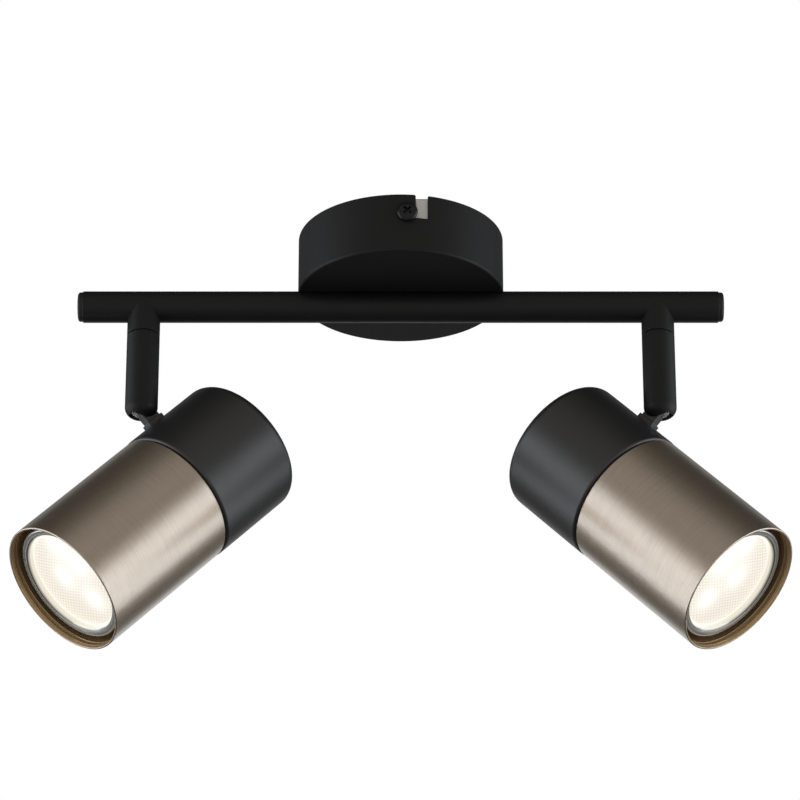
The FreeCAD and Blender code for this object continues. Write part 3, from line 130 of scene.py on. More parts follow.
def grained(label, colours, roughness, metal=0.0, specular=0.5,
            grain=0.0004, patch=0.006, strength=0.2, depth=0.00002):
    """A material with the shared grain, whose mottle mixes two colours and two roughnesses."""
    made, tree, shader = new_material(label, colours[0], roughness[0], metal, specular)
    place = tree.nodes.new("ShaderNodeTexCoord")
    node = tree.nodes.new("ShaderNodeGroup")
    node.node_tree = grain_group
    node.inputs["Grain size"].default_value = grain
    node.inputs["Patch size"].default_value = patch
    tree.links.new(place.outputs["Object"], node.inputs["Position"])
    mottle = node.outputs["Mottle"]
    tree.links.new(blend_colours(tree, mottle, *colours), shader.inputs["Base Color"])
    tree.links.new(spread(tree, mottle, *roughness), shader.inputs["Roughness"])
    bumped(tree, shader, node.outputs["Height"], strength, depth)
    return made


zinc = grained("zinc_coated_steel", ((0.72, 0.72, 0.70), (0.88, 0.88, 0.86)), (0.42, 0.56), metal=0.7,
               grain=0.0003, patch=0.0016, strength=0.15)


def new_piece(label, mesh, material=None):
    """A mesh in the scene, with one material if it has any."""
    piece = bpy.data.objects.new(label, mesh)
    scene.collection.objects.link(piece)
    if material is not None:
        mesh.materials.clear()
        mesh.materials.append(material)
    return piece


def settled(piece):
    """Turns what a piece's modifiers make into its plain mesh."""
    depsgraph = bpy.context.evaluated_depsgraph_get()
    made = bpy.data.meshes.new_from_object(piece.evaluated_get(depsgraph))
    piece.modifiers.clear()
    old = piece.data
    piece.data = made
    bpy.data.meshes.remove(old)


def smoothed(piece, crease=32.0):
    """Smooth shading with creases at sharp edges, flats kept flat."""
    piece.data.shade_smooth()
    piece.data.set_sharp_from_angle(angle=math.radians(crease))
    weigh = piece.modifiers.new("weigh", "WEIGHTED_NORMAL")
    weigh.keep_sharp = True
    weigh.weight = 80
    settled(piece)


def finished(piece, nodes, body, place=UPRIGHT, crease=32.0):
    """Smooths a piece and places it. It stands for its CAD nodes, which it hides, and rides on a body."""
    smoothed(piece, crease)
    piece.data.transform(place)
    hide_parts(*nodes)
    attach(piece, body)


def dressed(node, label, material, body):
    """A merged copy of a CAD node that shades smoothly, in place of the node."""
    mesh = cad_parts[node].data.copy()
    shape = bmesh.new()
    shape.from_mesh(mesh)
    bmesh.ops.remove_doubles(shape, verts=shape.verts, dist=SAME_PLACE)
    shape.to_mesh(mesh)
    shape.free()
    finished(new_piece(label, mesh, material), [node], body)


def painted(material, *nodes):
    """CAD nodes keep their shape and get a finish."""
    for node in nodes:
        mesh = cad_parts[node].data
        for index in range(len(mesh.materials)):
            mesh.materials[index] = material


dressed("ceiling_bracket", "bracket_strip", zinc, "base")

# Terminal block with its clamp screws, and the earth screw on the bracket. The block is moulded
# in an off-white plastic, its screws are brass plated. They sit under the bracket, inside.
moulding = grained("white_moulding", ((0.74, 0.73, 0.69), (0.82, 0.81, 0.78)), (0.40, 0.52))
brass = grained("brass_plate", ((0.62, 0.44, 0.20), (0.78, 0.60, 0.32)), (0.25, 0.40), metal=1.0, patch=0.002)
dressed("terminal_block", "terminal_moulding", moulding, "base")
painted(brass, "terminal_screws", "earth_screw")

# Canopy: a drawn steel cup, powder coated matt black. A trough pressed across its lower face
# seats the bar, and a notch with a side leg on each side hooks over the bracket's screws.
CANOPY_RADIUS = 41.25
CANOPY_HEIGHT = 25.0
CANOPY_WALL = 0.8
CANOPY_INSIDE = CANOPY_RADIUS - CANOPY_WALL
CANOPY_ROUND = 1.2
CANOPY_INNER_ROUND = 0.4
CANOPY_RIM_ROUND = 0.15
BAR_DROP = 29.35
TROUGH_RADIUS = 6.4
TROUGH_ROLL = 0.9
HUMP_HALF_ANGLE = 51.5
NOTCH_LEFT = 5.95
NOTCH_RIGHT = 10.65
NOTCH_DEPTH = 10.3
NOTCH_ROUND = 0.9
NOTCH_CORNER = 0.4
NOTCH_FLARE = 2.0
LEG_HALF = 2.2
SCREW_X = 2.6
SCREW_DROP = 8.1
CUT_PAST = 0.02

powder = grained("matt_black_powder_coat", ((0.0065, 0.0065, 0.0066), (0.0090, 0.0090, 0.0092)), (0.46, 0.54),
                 specular=0.27, grain=0.00045, patch=0.012, strength=0.25, depth=0.00003)


def rounded(points, steps=6):
    """Outline points, where a third number rounds the corner by that radius."""
    out = []
    count = len(points)
    for index, point in enumerate(points):
        if len(point) < 3:
            out.append((point[0], point[1]))
            continue
        corner = Vector(point[:2])
        before = (Vector(points[index - 1][:2]) - corner).normalized()
        after = (Vector(points[(index + 1) % count][:2]) - corner).normalized()
        half = before.angle(after) / 2
        centre = corner + (before + after).normalized() * (point[2] / math.sin(half))
        set_back = point[2] / math.tan(half)
        start = corner + before * set_back - centre
        turn = math.pi - 2 * half
        if start.cross(corner + after * set_back - centre) < 0:
            turn = -turn
        for step in range(steps + 1):
            angle = turn * step / steps
            spun = Vector((start.x * math.cos(angle) - start.y * math.sin(angle),
                           start.x * math.sin(angle) + start.y * math.cos(angle)))
            out.append(tuple(centre + spun))
    return out


def mesh_of(shape, label):
    """The mesh of a finished bmesh."""
    mesh = bpy.data.meshes.new(label)
    shape.to_mesh(mesh)
    shape.free()
    return mesh


def keep_own_place(mesh):
    """Stores each point's place in the piece's own frame, for patterns that follow the piece."""
    own = mesh.attributes.new("own", "FLOAT_VECTOR", "POINT")
    places = [0.0] * (3 * len(mesh.vertices))
    mesh.vertices.foreach_get("co", places)
    own.data.foreach_set("vector", places)


def turned(label, profile, material, segments=96, place=UPRIGHT, closed=False):
    """A turned piece: (radius, height) in millimetres round the Z axis, then moved to its place."""
    shape = bmesh.new()
    rings = []
    for radius, height in profile:
        if radius < 1e-6:
            rings.append([shape.verts.new((0, 0, height * MM))])
            continue
        rings.append([shape.verts.new((radius * MM * math.cos(2 * math.pi * step / segments),
                                       radius * MM * math.sin(2 * math.pi * step / segments),
                                       height * MM)) for step in range(segments)])
    pairs = list(zip(rings, rings[1:]))
    if closed:
        pairs.append((rings[-1], rings[0]))
    for low, high in pairs:
        for step in range(segments):
            ahead = (step + 1) % segments
            corners = [low[step % len(low)], low[ahead % len(low)],
                       high[ahead % len(high)], high[step % len(high)]]
            face = list(dict.fromkeys(corners))
            if len(face) > 2:
                shape.faces.new(face)
    bmesh.ops.recalc_face_normals(shape, faces=shape.faces)
    mesh = mesh_of(shape, label)
    keep_own_place(mesh)
    mesh.transform(place)
    return new_piece(label, mesh, material)


def extruded(label, outline, depth, place=UPRIGHT):
    """A prism: an outline in millimetres in the XY plane, depth either way along Z, then placed."""
    shape = bmesh.new()
    low, high = ([shape.verts.new((x * MM, y * MM, z * MM)) for x, y in outline] for z in (-depth, depth))
    shape.faces.new(low)
    shape.faces.new(high)
    for step in range(len(outline)):
        ahead = (step + 1) % len(outline)
        shape.faces.new((low[step], low[ahead], high[ahead], high[step]))
    bmesh.ops.recalc_face_normals(shape, faces=shape.faces)
    mesh = mesh_of(shape, label)
    mesh.transform(place)
    return new_piece(label, mesh)


def combined(piece, others, operation="DIFFERENCE"):
    """Cuts other shapes from a piece, or joins them to it, and removes them."""
    for other in others:
        step = piece.modifiers.new("combine", "BOOLEAN")
        step.solver = "EXACT"
        step.operation = operation
        step.object = other
    settled(piece)
    for other in others:
        mesh = other.data
        bpy.data.objects.remove(other)
        bpy.data.meshes.remove(mesh)


def arc_points(radius, centre, start, end, steps):
    """Points along an arc, both ends among them, in millimetres and degrees."""
    return [(centre[0] + radius * math.cos(math.radians(start + (end - start) * step / steps)),
             centre[1] + radius * math.sin(math.radians(start + (end - start) * step / steps)))
            for step in range(steps + 1)]


# ALONG_X lays a piece's Z axis along X. FACING_FRONT stands an outline up, its y along Z.
ALONG_X = Matrix(((0, 0, 1, 0), (1, 0, 0, 0), (0, 1, 0, 0), (0, 0, 0, 1)))
FACING_FRONT = Matrix(((1, 0, 0, 0), (0, 0, -1, 0), (0, 1, 0, 0), (0, 0, 0, 1)))

canopy = turned("canopy_cup", rounded([
    (0.0, -CANOPY_HEIGHT), (CANOPY_RADIUS, -CANOPY_HEIGHT, CANOPY_ROUND),
    (CANOPY_RADIUS, 0.0, CANOPY_RIM_ROUND), (CANOPY_INSIDE, 0.0, CANOPY_RIM_ROUND),
    (CANOPY_INSIDE, CANOPY_WALL - CANOPY_HEIGHT, CANOPY_INNER_ROUND),
    (0.0, CANOPY_WALL - CANOPY_HEIGHT)]), powder, segments=192)
hump_arc = arc_points(TROUGH_RADIUS + CANOPY_WALL, (0, -BAR_DROP),
                      90 - HUMP_HALF_ANGLE, 90 + HUMP_HALF_ANGLE, 48)
hump = extruded("hump", hump_arc, CANOPY_RADIUS - CANOPY_WALL / 2, ALONG_X)
combined(canopy, [hump], "UNION")

# The trough's cut, in y and z: the bar's arc with a rolled edge on each side.
trough_level = -CANOPY_HEIGHT - CUT_PAST
roll_rise = trough_level + BAR_DROP + TROUGH_ROLL
roll_reach = math.sqrt((TROUGH_RADIUS + TROUGH_ROLL) ** 2 - roll_rise ** 2)
roll_lean = math.degrees(math.atan2(roll_rise, roll_reach))
trough_right = [(roll_reach, trough_level - 3.0)] + arc_points(
    TROUGH_ROLL, (roll_reach, trough_level + TROUGH_ROLL), 270, 180 + roll_lean, 10)
trough_arc = arc_points(TROUGH_RADIUS, (0, -BAR_DROP), roll_lean, 180 - roll_lean, 48)
trough_left = [(-y, z) for y, z in reversed(trough_right)]
cutters = [extruded("trough", trough_right + trough_arc + trough_left, CANOPY_RADIUS + 4, ALONG_X)]

notch_outline = rounded([
    (NOTCH_RIGHT + NOTCH_FLARE, 1.0), (NOTCH_RIGHT + NOTCH_FLARE, CUT_PAST),
    (NOTCH_RIGHT, CUT_PAST, NOTCH_ROUND), (NOTCH_RIGHT, -NOTCH_DEPTH, NOTCH_CORNER), (SCREW_X, -NOTCH_DEPTH)])
notch_outline += arc_points(LEG_HALF, (SCREW_X, -SCREW_DROP), 270, 90, 24)[1:-1]
notch_outline += rounded([
    (SCREW_X, LEG_HALF - SCREW_DROP), (NOTCH_LEFT, LEG_HALF - SCREW_DROP, NOTCH_CORNER),
    (NOTCH_LEFT, CUT_PAST, NOTCH_ROUND), (NOTCH_LEFT - NOTCH_FLARE, CUT_PAST),
    (NOTCH_LEFT - NOTCH_FLARE, 1.0)])
to_wall = Matrix.Translation((0, -CANOPY_RADIUS * MM, 0)) @ FACING_FRONT
for turn in (0, 180):
    place = Matrix.Rotation(math.radians(turn), 4, "Z") @ to_wall
    cutters.append(extruded("notch_%d" % turn, notch_outline, 3.0, place))
combined(canopy, cutters)
finished(canopy, ["canopy"], "base")

# Canopy screws: two pan heads with a cross recess, blackened steel, driven through the notches
# into the bracket's ears, one in front and one behind.
SHANK_RADIUS = 2.0
SHANK_LENGTH = 8.0
HEAD_RADIUS = 4.1
HEAD_RIM = 0.9
HEAD_HEIGHT = 2.4
HEAD_CLEARANCE = 0.05
CROSS_LENGTH = 3.9
CROSS_WIDTH = 1.0
CROSS_DEPTH = 1.3
CROSS_TURN = 45

blackened = grained("blackened_steel", ((0.004, 0.004, 0.005), (0.008, 0.008, 0.010)), (0.24, 0.36),
                    specular=0.35, grain=0.0002, patch=0.002)


def recessed(head, top, length, width, depth):
    """Cuts a cross recess into the top of a screw head that points along +Z."""
    cutters = []
    for turn in (0, 90):
        outline = rounded([(-length / 2, -width / 2, 0.2), (length / 2, -width / 2, 0.2),
                           (length / 2, width / 2, 0.2), (-length / 2, width / 2, 0.2)], 3)
        place = Matrix.Translation((0, 0, top * MM)) @ Matrix.Rotation(math.radians(turn), 4, "Z")
        cutters.append(extruded("cross_%d" % turn, outline, depth, place))
    combined(cutters[0], cutters[1:], "UNION")
    combined(head, cutters[:1])


def geometry_tree(label, takes):
    """A geometry node tree with named inputs, given as name, socket type and value."""
    tree = bpy.data.node_groups.new(label, "GeometryNodeTree")
    tree.interface.new_socket("Geometry", in_out="INPUT", socket_type="NodeSocketGeometry")
    for name, kind, value in takes:
        socket = tree.interface.new_socket(name, in_out="INPUT", socket_type=kind)
        if value is not None:
            socket.default_value = value
    tree.interface.new_socket("Geometry", in_out="OUTPUT", socket_type="NodeSocketGeometry")
    return tree, tree.nodes.new("NodeGroupInput"), tree.nodes.new("NodeGroupOutput")


def joined(tree, kind, links, **settings):
    """A node of a tree, with its inputs linked or set by name."""
    node = tree.nodes.new(kind)
    for key, value in settings.items():
        setattr(node, key, value)
    for name, value in links.items():
        if isinstance(value, bpy.types.NodeSocket):
            tree.links.new(value, node.inputs[name])
        else:
            node.inputs[name].default_value = value
    return node


def grown(piece, tree, values):
    """Runs a geometry tree on a piece and keeps the result as its plain mesh."""
    step = piece.modifiers.new("tree", "NODES")
    step.node_group = tree
    for item in tree.interface.items_tree:
        if item.item_type == "SOCKET" and item.in_out == "INPUT" and item.name in values:
            step[item.identifier] = values[item.name]
    settled(piece)


# Tree that repeats a piece round the Z axis, evenly spaced.
ring_tree, ring_in, ring_out = geometry_tree("repeat_round_axis", [
    ("Count", "NodeSocketInt", 2), ("Finish", "NodeSocketMaterial", None)])
ring_points = joined(ring_tree, "GeometryNodeMeshLine", {
    "Count": ring_in.outputs["Count"], "Offset": (0, 0, 0)})
ring_copies = joined(ring_tree, "GeometryNodeInstanceOnPoints", {
    "Points": ring_points.outputs["Mesh"], "Instance": ring_in.outputs["Geometry"]})
ring_index = ring_tree.nodes.new("GeometryNodeInputIndex")
ring_step = math_node(ring_tree, "DIVIDE", 2 * math.pi, ring_in.outputs["Count"])
ring_angle = math_node(ring_tree, "MULTIPLY", ring_index.outputs[0], ring_step)
ring_turn = joined(ring_tree, "ShaderNodeCombineXYZ", {"Z": ring_angle})
ring_turned = joined(ring_tree, "GeometryNodeRotateInstances", {
    "Instances": ring_copies.outputs["Instances"], "Rotation": ring_turn.outputs["Vector"],
    "Local Space": False})
ring_real = joined(ring_tree, "GeometryNodeRealizeInstances", {"Geometry": ring_turned.outputs["Instances"]})
ring_done = joined(ring_tree, "GeometryNodeSetMaterial", {
    "Geometry": ring_real.outputs["Geometry"], "Material": ring_in.outputs["Finish"]})
ring_tree.links.new(ring_done.outputs["Geometry"], ring_out.inputs["Geometry"])

screw_dome = [(HEAD_RADIUS * math.cos(math.radians(turn)),
               HEAD_RIM + (HEAD_HEIGHT - HEAD_RIM) * math.sin(math.radians(turn)))
              for turn in range(10, 90, 10)]
screws = turned("canopy_screw_heads", rounded([
    (0.0, -SHANK_LENGTH), (SHANK_RADIUS, -SHANK_LENGTH, 0.3), (SHANK_RADIUS, 0.0), (HEAD_RADIUS, 0.0, 0.25),
    (HEAD_RADIUS, HEAD_RIM)]) + screw_dome + [(0.0, HEAD_HEIGHT)], blackened, segments=64)
recessed(screws, HEAD_HEIGHT, CROSS_LENGTH, CROSS_WIDTH, CROSS_DEPTH)
screws.data.transform(
    Matrix.Translation((SCREW_X * MM, -(CANOPY_RADIUS + HEAD_CLEARANCE) * MM, -SCREW_DROP * MM))
    @ Matrix.Rotation(math.radians(90), 4, "X") @ Matrix.Rotation(math.radians(CROSS_TURN), 4, "Z"))
grown(screws, ring_tree, {"Count": 2, "Finish": blackened})
finished(screws, ["canopy_screws"], "base")

# Bar: a steel tube, powder coated, held in the trough by two screws from inside the canopy.
# Its ends are closed by moulded caps. Bush, weld nuts and screws are out of sight.
BAR_RADIUS = 6.35
BAR_WALL = 1.0
BAR_HALF = 127.5
CAP_RADIUS = 5.95
CAP_THICK = 2.0
CAP_ROUND = 1.1
PLUG_RADIUS = 5.3
PLUG_LENGTH = 6.0

bar_axis = Matrix.Translation((0, 0, -BAR_DROP * MM)) @ ALONG_X
bar = turned("bar_tube", rounded([
    (BAR_RADIUS, -BAR_HALF, 0.3), (BAR_RADIUS, BAR_HALF, 0.3), (BAR_RADIUS - BAR_WALL, BAR_HALF),
    (BAR_RADIUS - BAR_WALL, -BAR_HALF)], 4), powder, place=bar_axis, closed=True)
finished(bar, ["bar"], "base")
black_plastic = grained("black_moulding", ((0.010, 0.010, 0.0105), (0.014, 0.014, 0.0145)), (0.42, 0.52),
                        specular=0.35, patch=0.004)
caps = turned("bar_end_caps", rounded([
    (0.0, BAR_HALF + CAP_THICK), (CAP_RADIUS, BAR_HALF + CAP_THICK, CAP_ROUND), (CAP_RADIUS, BAR_HALF),
    (PLUG_RADIUS, BAR_HALF), (PLUG_RADIUS, BAR_HALF - PLUG_LENGTH, 0.4), (0.0, BAR_HALF - PLUG_LENGTH)]),
    black_plastic, place=bar_axis)
grown(caps, ring_tree, {"Count": 2, "Finish": black_plastic})
finished(caps, ["left_bar_cap", "right_bar_cap"], "base")
painted(zinc, "bar_screws", "bar_weld_nuts")
painted(black_plastic, "wire_bush")

# Stubs: two short turned pieces saddled and brazed under the bar, on which the arms swivel.
# Their lower rims are eased, so a dark line shows over the arm's collar. The stop pins are inside.
ARM_X = 103.0
ARM_RADIUS = 6.55
STUB_TOP = -BAR_DROP - 0.6
STUB_BOTTOM = -42.0
STUB_BORE = 3.1
STUB_BORE_DEPTH = 1.8
SADDLE_HALF = 9.0


def rod(label, radius, low, high, segments, place=UPRIGHT):
    """A round cutter along Z, then placed."""
    return turned(label, [(0.0, low), (radius, low), (radius, high), (0.0, high)], None, segments, place)


stubs = turned("swivel_stubs", rounded([
    (0.0, STUB_TOP), (ARM_RADIUS, STUB_TOP), (ARM_RADIUS, STUB_BOTTOM, 0.35), (STUB_BORE, STUB_BOTTOM),
    (STUB_BORE, STUB_BOTTOM + STUB_BORE_DEPTH), (0.0, STUB_BOTTOM + STUB_BORE_DEPTH)], 4), powder)
stubs.data.transform(Matrix.Translation((ARM_X * MM, 0, 0)))
combined(stubs, [rod("saddle", BAR_RADIUS, ARM_X - SADDLE_HALF, ARM_X + SADDLE_HALF, 96, bar_axis)])
grown(stubs, ring_tree, {"Count": 2, "Finish": powder})
finished(stubs, ["left_stub", "right_stub"], "base")
painted(zinc, "stop_pins")
insulation = grained("lead_insulation", ((0.10, 0.045, 0.02), (0.14, 0.07, 0.035)), (0.42, 0.55))
painted(insulation, "bar_leads")

# Arms: each hangs on a hollow stem whose collar closes the tube's top. The tube's lower end is
# domed and slotted for the hinge. The tilt screw's head is sunk on the far side.
PIVOT_Z = -73.8
HEAD_TURN = 25.5
HEAD_TILT = 44.2
DOME_BOTTOM = -4.6
DOME_ROUND = 4.4
ARM_TOP = 30.35
COLLAR = 1.2
STEM_RADIUS = 3.0
STEM_RISE = 6.2
SLOT_HALF = 2.6
SLOT_RADIUS = 4.6
SLOT_RISE = 4.35
PIN_TIP = -4.9
PIN_RADIUS = 1.5
PIN_HEAD_RADIUS = 2.6
PIN_SEAT = 4.3
PIN_SEAT_RADIUS = 2.65
PIN_SEAT_END = 8.0
PIN_FACE = 5.8
PIN_CROSS = (3.0, 0.8, 0.9)
SIDES = (("left", -1), ("right", 1))


def arm_place(sign):
    """An arm's frame: the hinge axis is Y, +X is the way the head leans."""
    turn = 180 + HEAD_TURN if sign < 0 else -HEAD_TURN
    return (Matrix.Translation((sign * ARM_X * MM, 0, PIVOT_Z * MM))
            @ Matrix.Rotation(math.radians(turn), 4, "Z"))


side_rise = -math.sqrt(SLOT_RADIUS ** 2 - SLOT_RISE ** 2)
slot_end = math.degrees(math.atan2(SLOT_RISE, side_rise))
slot_outline = ([(SLOT_RADIUS, DOME_BOTTOM - 1.0)] + arc_points(SLOT_RADIUS, (0, 0), 0, slot_end, 24)
                + [(-ARM_RADIUS - 1.0, SLOT_RISE), (-ARM_RADIUS - 1.0, DOME_BOTTOM - 1.0)])
for side, sign in SIDES:
    place = arm_place(sign)
    facing_screw = Matrix.Rotation(math.radians(-90 * sign), 4, "X")
    arm = turned(side + "_arm_tube", rounded([
        (0.0, DOME_BOTTOM), (ARM_RADIUS, DOME_BOTTOM, DOME_ROUND), (ARM_RADIUS, ARM_TOP, 0.12),
        (0.0, ARM_TOP)], 14), powder)
    slot = extruded("slot", slot_outline, SLOT_HALF, FACING_FRONT)
    seat = rod("seat", PIN_SEAT_RADIUS, PIN_SEAT, PIN_SEAT_END, 48, facing_screw)
    combined(arm, [slot, seat])
    finished(arm, [side + "_arm"], side + "_arm", place)
    collar = turned(side + "_arm_collar", rounded([
        (0.0, ARM_TOP), (ARM_RADIUS, ARM_TOP, 0.12), (ARM_RADIUS, ARM_TOP + COLLAR, 0.35),
        (STEM_RADIUS, ARM_TOP + COLLAR), (STEM_RADIUS, ARM_TOP + STEM_RISE, 0.3),
        (0.0, ARM_TOP + STEM_RISE)], 4), powder, place=place)
    finished(collar, [side + "_swivel_stem"], side + "_arm")
    pin = turned(side + "_tilt_screw_head", rounded([
        (0.0, PIN_TIP), (PIN_RADIUS, PIN_TIP, 0.2), (PIN_RADIUS, PIN_SEAT), (PIN_HEAD_RADIUS, PIN_SEAT),
        (PIN_HEAD_RADIUS, PIN_FACE, 0.35), (0.0, PIN_FACE)], 4), blackened, segments=48)
    recessed(pin, PIN_FACE, *PIN_CROSS)
    finished(pin, [side + "_tilt_screw"], side + "_arm", place @ facing_screw)
    painted(zinc, side + "_spring_washer", side + "_swivel_nut", side + "_friction_washers")
    painted(insulation, side + "_arm_leads")

# Knuckles: a bare zinc coated hub with a wire groove turns on the tilt screw. The black lug is
# cast, its neck hollowed to seat the hub, its stepped foot saddled to the cup.
HINGE_OFFSET = 36.35
HUB_BORE = 1.55
HUB_RADIUS = 4.1
HUB_HALF = 2.0
GROOVE_RADIUS = 2.3
GROOVE_HALF = 1.1
LUG_FOOT = ((26.6, -2.9, -4.0), (29.8, 2.9, 4.0))
LUG_NECK = ((27.4, -2.2, -3.3), (38.0, 2.2, 3.3))
LUG_TOP = ((HINGE_OFFSET, -5, -5), (44, 5, 5))
LUG_CHANNEL = ((30.5, -1.1, -1.9), (40, 1.1, 1.9))
HUB_SEAT_RADIUS = 4.12
HUB_SEAT_HALF = 5.0
CUP_SEAT_HALF = 9.0
CUP_RADIUS = 28.2


def head_place(sign):
    """A head's frame: +Z runs to the mouth, +X from the head's axis to the hinge."""
    return (arm_place(sign) @ Matrix.Rotation(math.radians(-HEAD_TILT), 4, "Y")
            @ Matrix.Rotation(math.pi, 4, "X") @ Matrix.Translation((-HINGE_OFFSET * MM, 0, 0)))


def block(label, low, high, edge=0.0, material=None):
    """A block between two corners in millimetres, with its edges rounded if given."""
    shape = bmesh.new()
    bmesh.ops.create_cube(shape, size=1.0)
    for vertex in shape.verts:
        vertex.co = [MM * (a if c < 0 else b) for c, a, b in zip(vertex.co, low, high)]
    if edge:
        bmesh.ops.bevel(shape, geom=shape.edges[:], offset=edge * MM, segments=3, profile=0.5, affect="EDGES")
    return new_piece(label, mesh_of(shape, label), material)


# The lugs and cups have a satin coat, glossier than the canopy's. The hubs have a smoother plate than
# the bracket, and their lighter colour is a painted glint, brightening the hubs in the slot's shade.
satin = grained("satin_black_coat", ((0.0036, 0.0036, 0.0040), (0.0056, 0.0056, 0.0062)), (0.42, 0.48),
                specular=1.0, grain=0.0003, patch=0.012)
# Lighter colours than the bracket's zinc: a painted glint on the hubs.
glint_painted_zinc = grained("bright_zinc_plate", ((0.86, 0.87, 0.88), (0.96, 0.96, 0.96)), (0.16, 0.24),
                      metal=0.8, patch=0.002)

ALONG_Y = Matrix.Rotation(math.radians(-90), 4, "X")
to_hinge = Matrix.Translation((HINGE_OFFSET * MM, 0, 0)) @ ALONG_Y
for side, sign in SIDES:
    place = head_place(sign)
    hub = turned(side + "_hub_disc", rounded([
        (HUB_BORE, -HUB_HALF), (HUB_RADIUS, -HUB_HALF, 0.35), (HUB_RADIUS, -GROOVE_HALF, 0.12),
        (GROOVE_RADIUS, -GROOVE_HALF), (GROOVE_RADIUS, GROOVE_HALF), (HUB_RADIUS, GROOVE_HALF, 0.12),
        (HUB_RADIUS, HUB_HALF, 0.35), (HUB_BORE, HUB_HALF)], 3), glint_painted_zinc, segments=64, place=to_hinge,
        closed=True)
    finished(hub, [side + "_hinge_hub"], side + "_head", place)
    lug = block(side + "_lug_casting", *LUG_FOOT, 0.35, satin)
    combined(lug, [block("neck", *LUG_NECK, 0.4)], "UNION")
    combined(lug, [rod("cup_seat", CUP_RADIUS, -CUP_SEAT_HALF, CUP_SEAT_HALF, 256),
                   rod("hub_seat", HUB_SEAT_RADIUS, -HUB_SEAT_HALF, HUB_SEAT_HALF, 64, to_hinge),
                   block("top", *LUG_TOP), block("channel", *LUG_CHANNEL)])
    finished(lug, [side + "_hinge_lug"], side + "_head", place)
    painted(zinc, side + "_lug_nut", side + "_holder_bracket", side + "_holder_screws")
    painted(insulation, side + "_head_leads")

# Rear cups: spun steel, powder coated, with a rounded back and a rounded lip over the shade's
# necked end.
CUP_BACK = -25.55
CUP_LIP = 16.4
CUP_WALL = 1.6
CUP_INSIDE = CUP_RADIUS - CUP_WALL
CUP_BACK_ROUND = 4.0
CUP_LIP_ROUND = 1.35

for side, sign in SIDES:
    cup = turned(side + "_cup_shell", rounded([
        (0.0, CUP_BACK), (CUP_RADIUS, CUP_BACK, CUP_BACK_ROUND), (CUP_RADIUS, CUP_LIP, CUP_LIP_ROUND),
        (CUP_INSIDE, CUP_LIP, 0.2), (CUP_INSIDE, CUP_BACK + CUP_WALL, CUP_BACK_ROUND - CUP_WALL),
        (0.0, CUP_BACK + CUP_WALL)], 10), satin, segments=192, place=head_place(sign))
    finished(cup, [side + "_cup"], side + "_head")

# Shades: steel tube, brushed round its girth and plated gunmetal outside, bronze toned inside.
# The rear end is necked to plug into the cup, and two beads are rolled inside the mouth.
SHADE_RADIUS = 28.0
SHADE_INSIDE = 27.1
SHADE_BACK = 17.2
STEP_FRONT = SHADE_BACK + 0.9
NECK_BACK = 10.4
NECK_RADIUS = 26.55
NECK_INSIDE = NECK_RADIUS - 1.0
MOUTH = 81.05
BEAD_DEPTHS = (1.7, 3.6)
BEAD_HEIGHT = 0.25
BEAD_HALF = 0.55
OUTSIDE_RING = 48.0
INSIDE_RINGS = (60.0, 30.0)

# Brushing: fine streaks round a piece's axis, from its own place.
brush_group, brush_in, brush_out = new_group(
    "brushed_round", [("Own place", None), ("Line pitch", 0.0004)], ["Height", "Streaks"])
brush_scale = math_node(brush_group, "DIVIDE", 1.0, brush_in.outputs["Line pitch"])
brush_fine = brush_group.nodes.new("ShaderNodeMapping")
brush_fine.inputs["Scale"].default_value = (0.016, 0.016, 1.0)
brush_group.links.new(brush_in.outputs["Own place"], brush_fine.inputs["Vector"])
for output, factor, detail in (("Height", 1.0, 2.0), ("Streaks", 0.7, 3.0)):
    noise = brush_group.nodes.new("ShaderNodeTexNoise")
    noise.inputs["Detail"].default_value = detail
    noise.inputs["Roughness"].default_value = 0.6
    brush_group.links.new(brush_fine.outputs["Vector"], noise.inputs["Vector"])
    brush_group.links.new(math_node(brush_group, "MULTIPLY", brush_scale, factor), noise.inputs["Scale"])
    brush_group.links.new(noise.outputs["Fac"], brush_out.inputs[output])


def brushed(label, dark, light, roughness, pitch, depth):
    """A brushed metal and its shader. The streaks follow the piece's own attribute."""
    made, tree, shader = new_material(label, dark, roughness[0], 1.0)
    own = tree.nodes.new("ShaderNodeAttribute")
    own.attribute_name = "own"
    node = tree.nodes.new("ShaderNodeGroup")
    node.node_tree = brush_group
    node.inputs["Line pitch"].default_value = pitch
    tree.links.new(own.outputs["Vector"], node.inputs["Own place"])
    share = spread(tree, node.outputs["Streaks"], -0.1, 1.1)
    tree.links.new(blend_colours(tree, share, dark, light), shader.inputs["Base Color"])
    tree.links.new(spread(tree, share, *roughness), shader.inputs["Roughness"])
    bumped(tree, shader, node.outputs["Height"], 1.0, depth)
    return made, shader


gunmetal, gunmetal_shader = brushed("brushed_gunmetal", (0.42, 0.335, 0.245), (0.55, 0.45, 0.34),
                                    (0.43, 0.39), 0.00025, 0.0001)
gunmetal_shader.inputs["Coat Weight"].default_value = 1.0
gunmetal_shader.inputs["Coat IOR"].default_value = 2.15
gunmetal_shader.inputs["Coat Roughness"].default_value = 0.27
bronze, bronze_shader = brushed("bronze_toned_inside", (0.30, 0.19, 0.09), (0.48, 0.33, 0.175),
                                (0.34, 0.26), 0.0004, 0.00003)
bronze_shader.inputs["Metallic"].default_value = 0.6


def bead(middle):
    """The half round of a rolled bead inside the mouth, as radius and height."""
    return [(SHADE_INSIDE - BEAD_HEIGHT * math.cos(math.pi * step / 12) ** 2, middle - BEAD_HALF * step / 6)
            for step in range(-6, 7)]


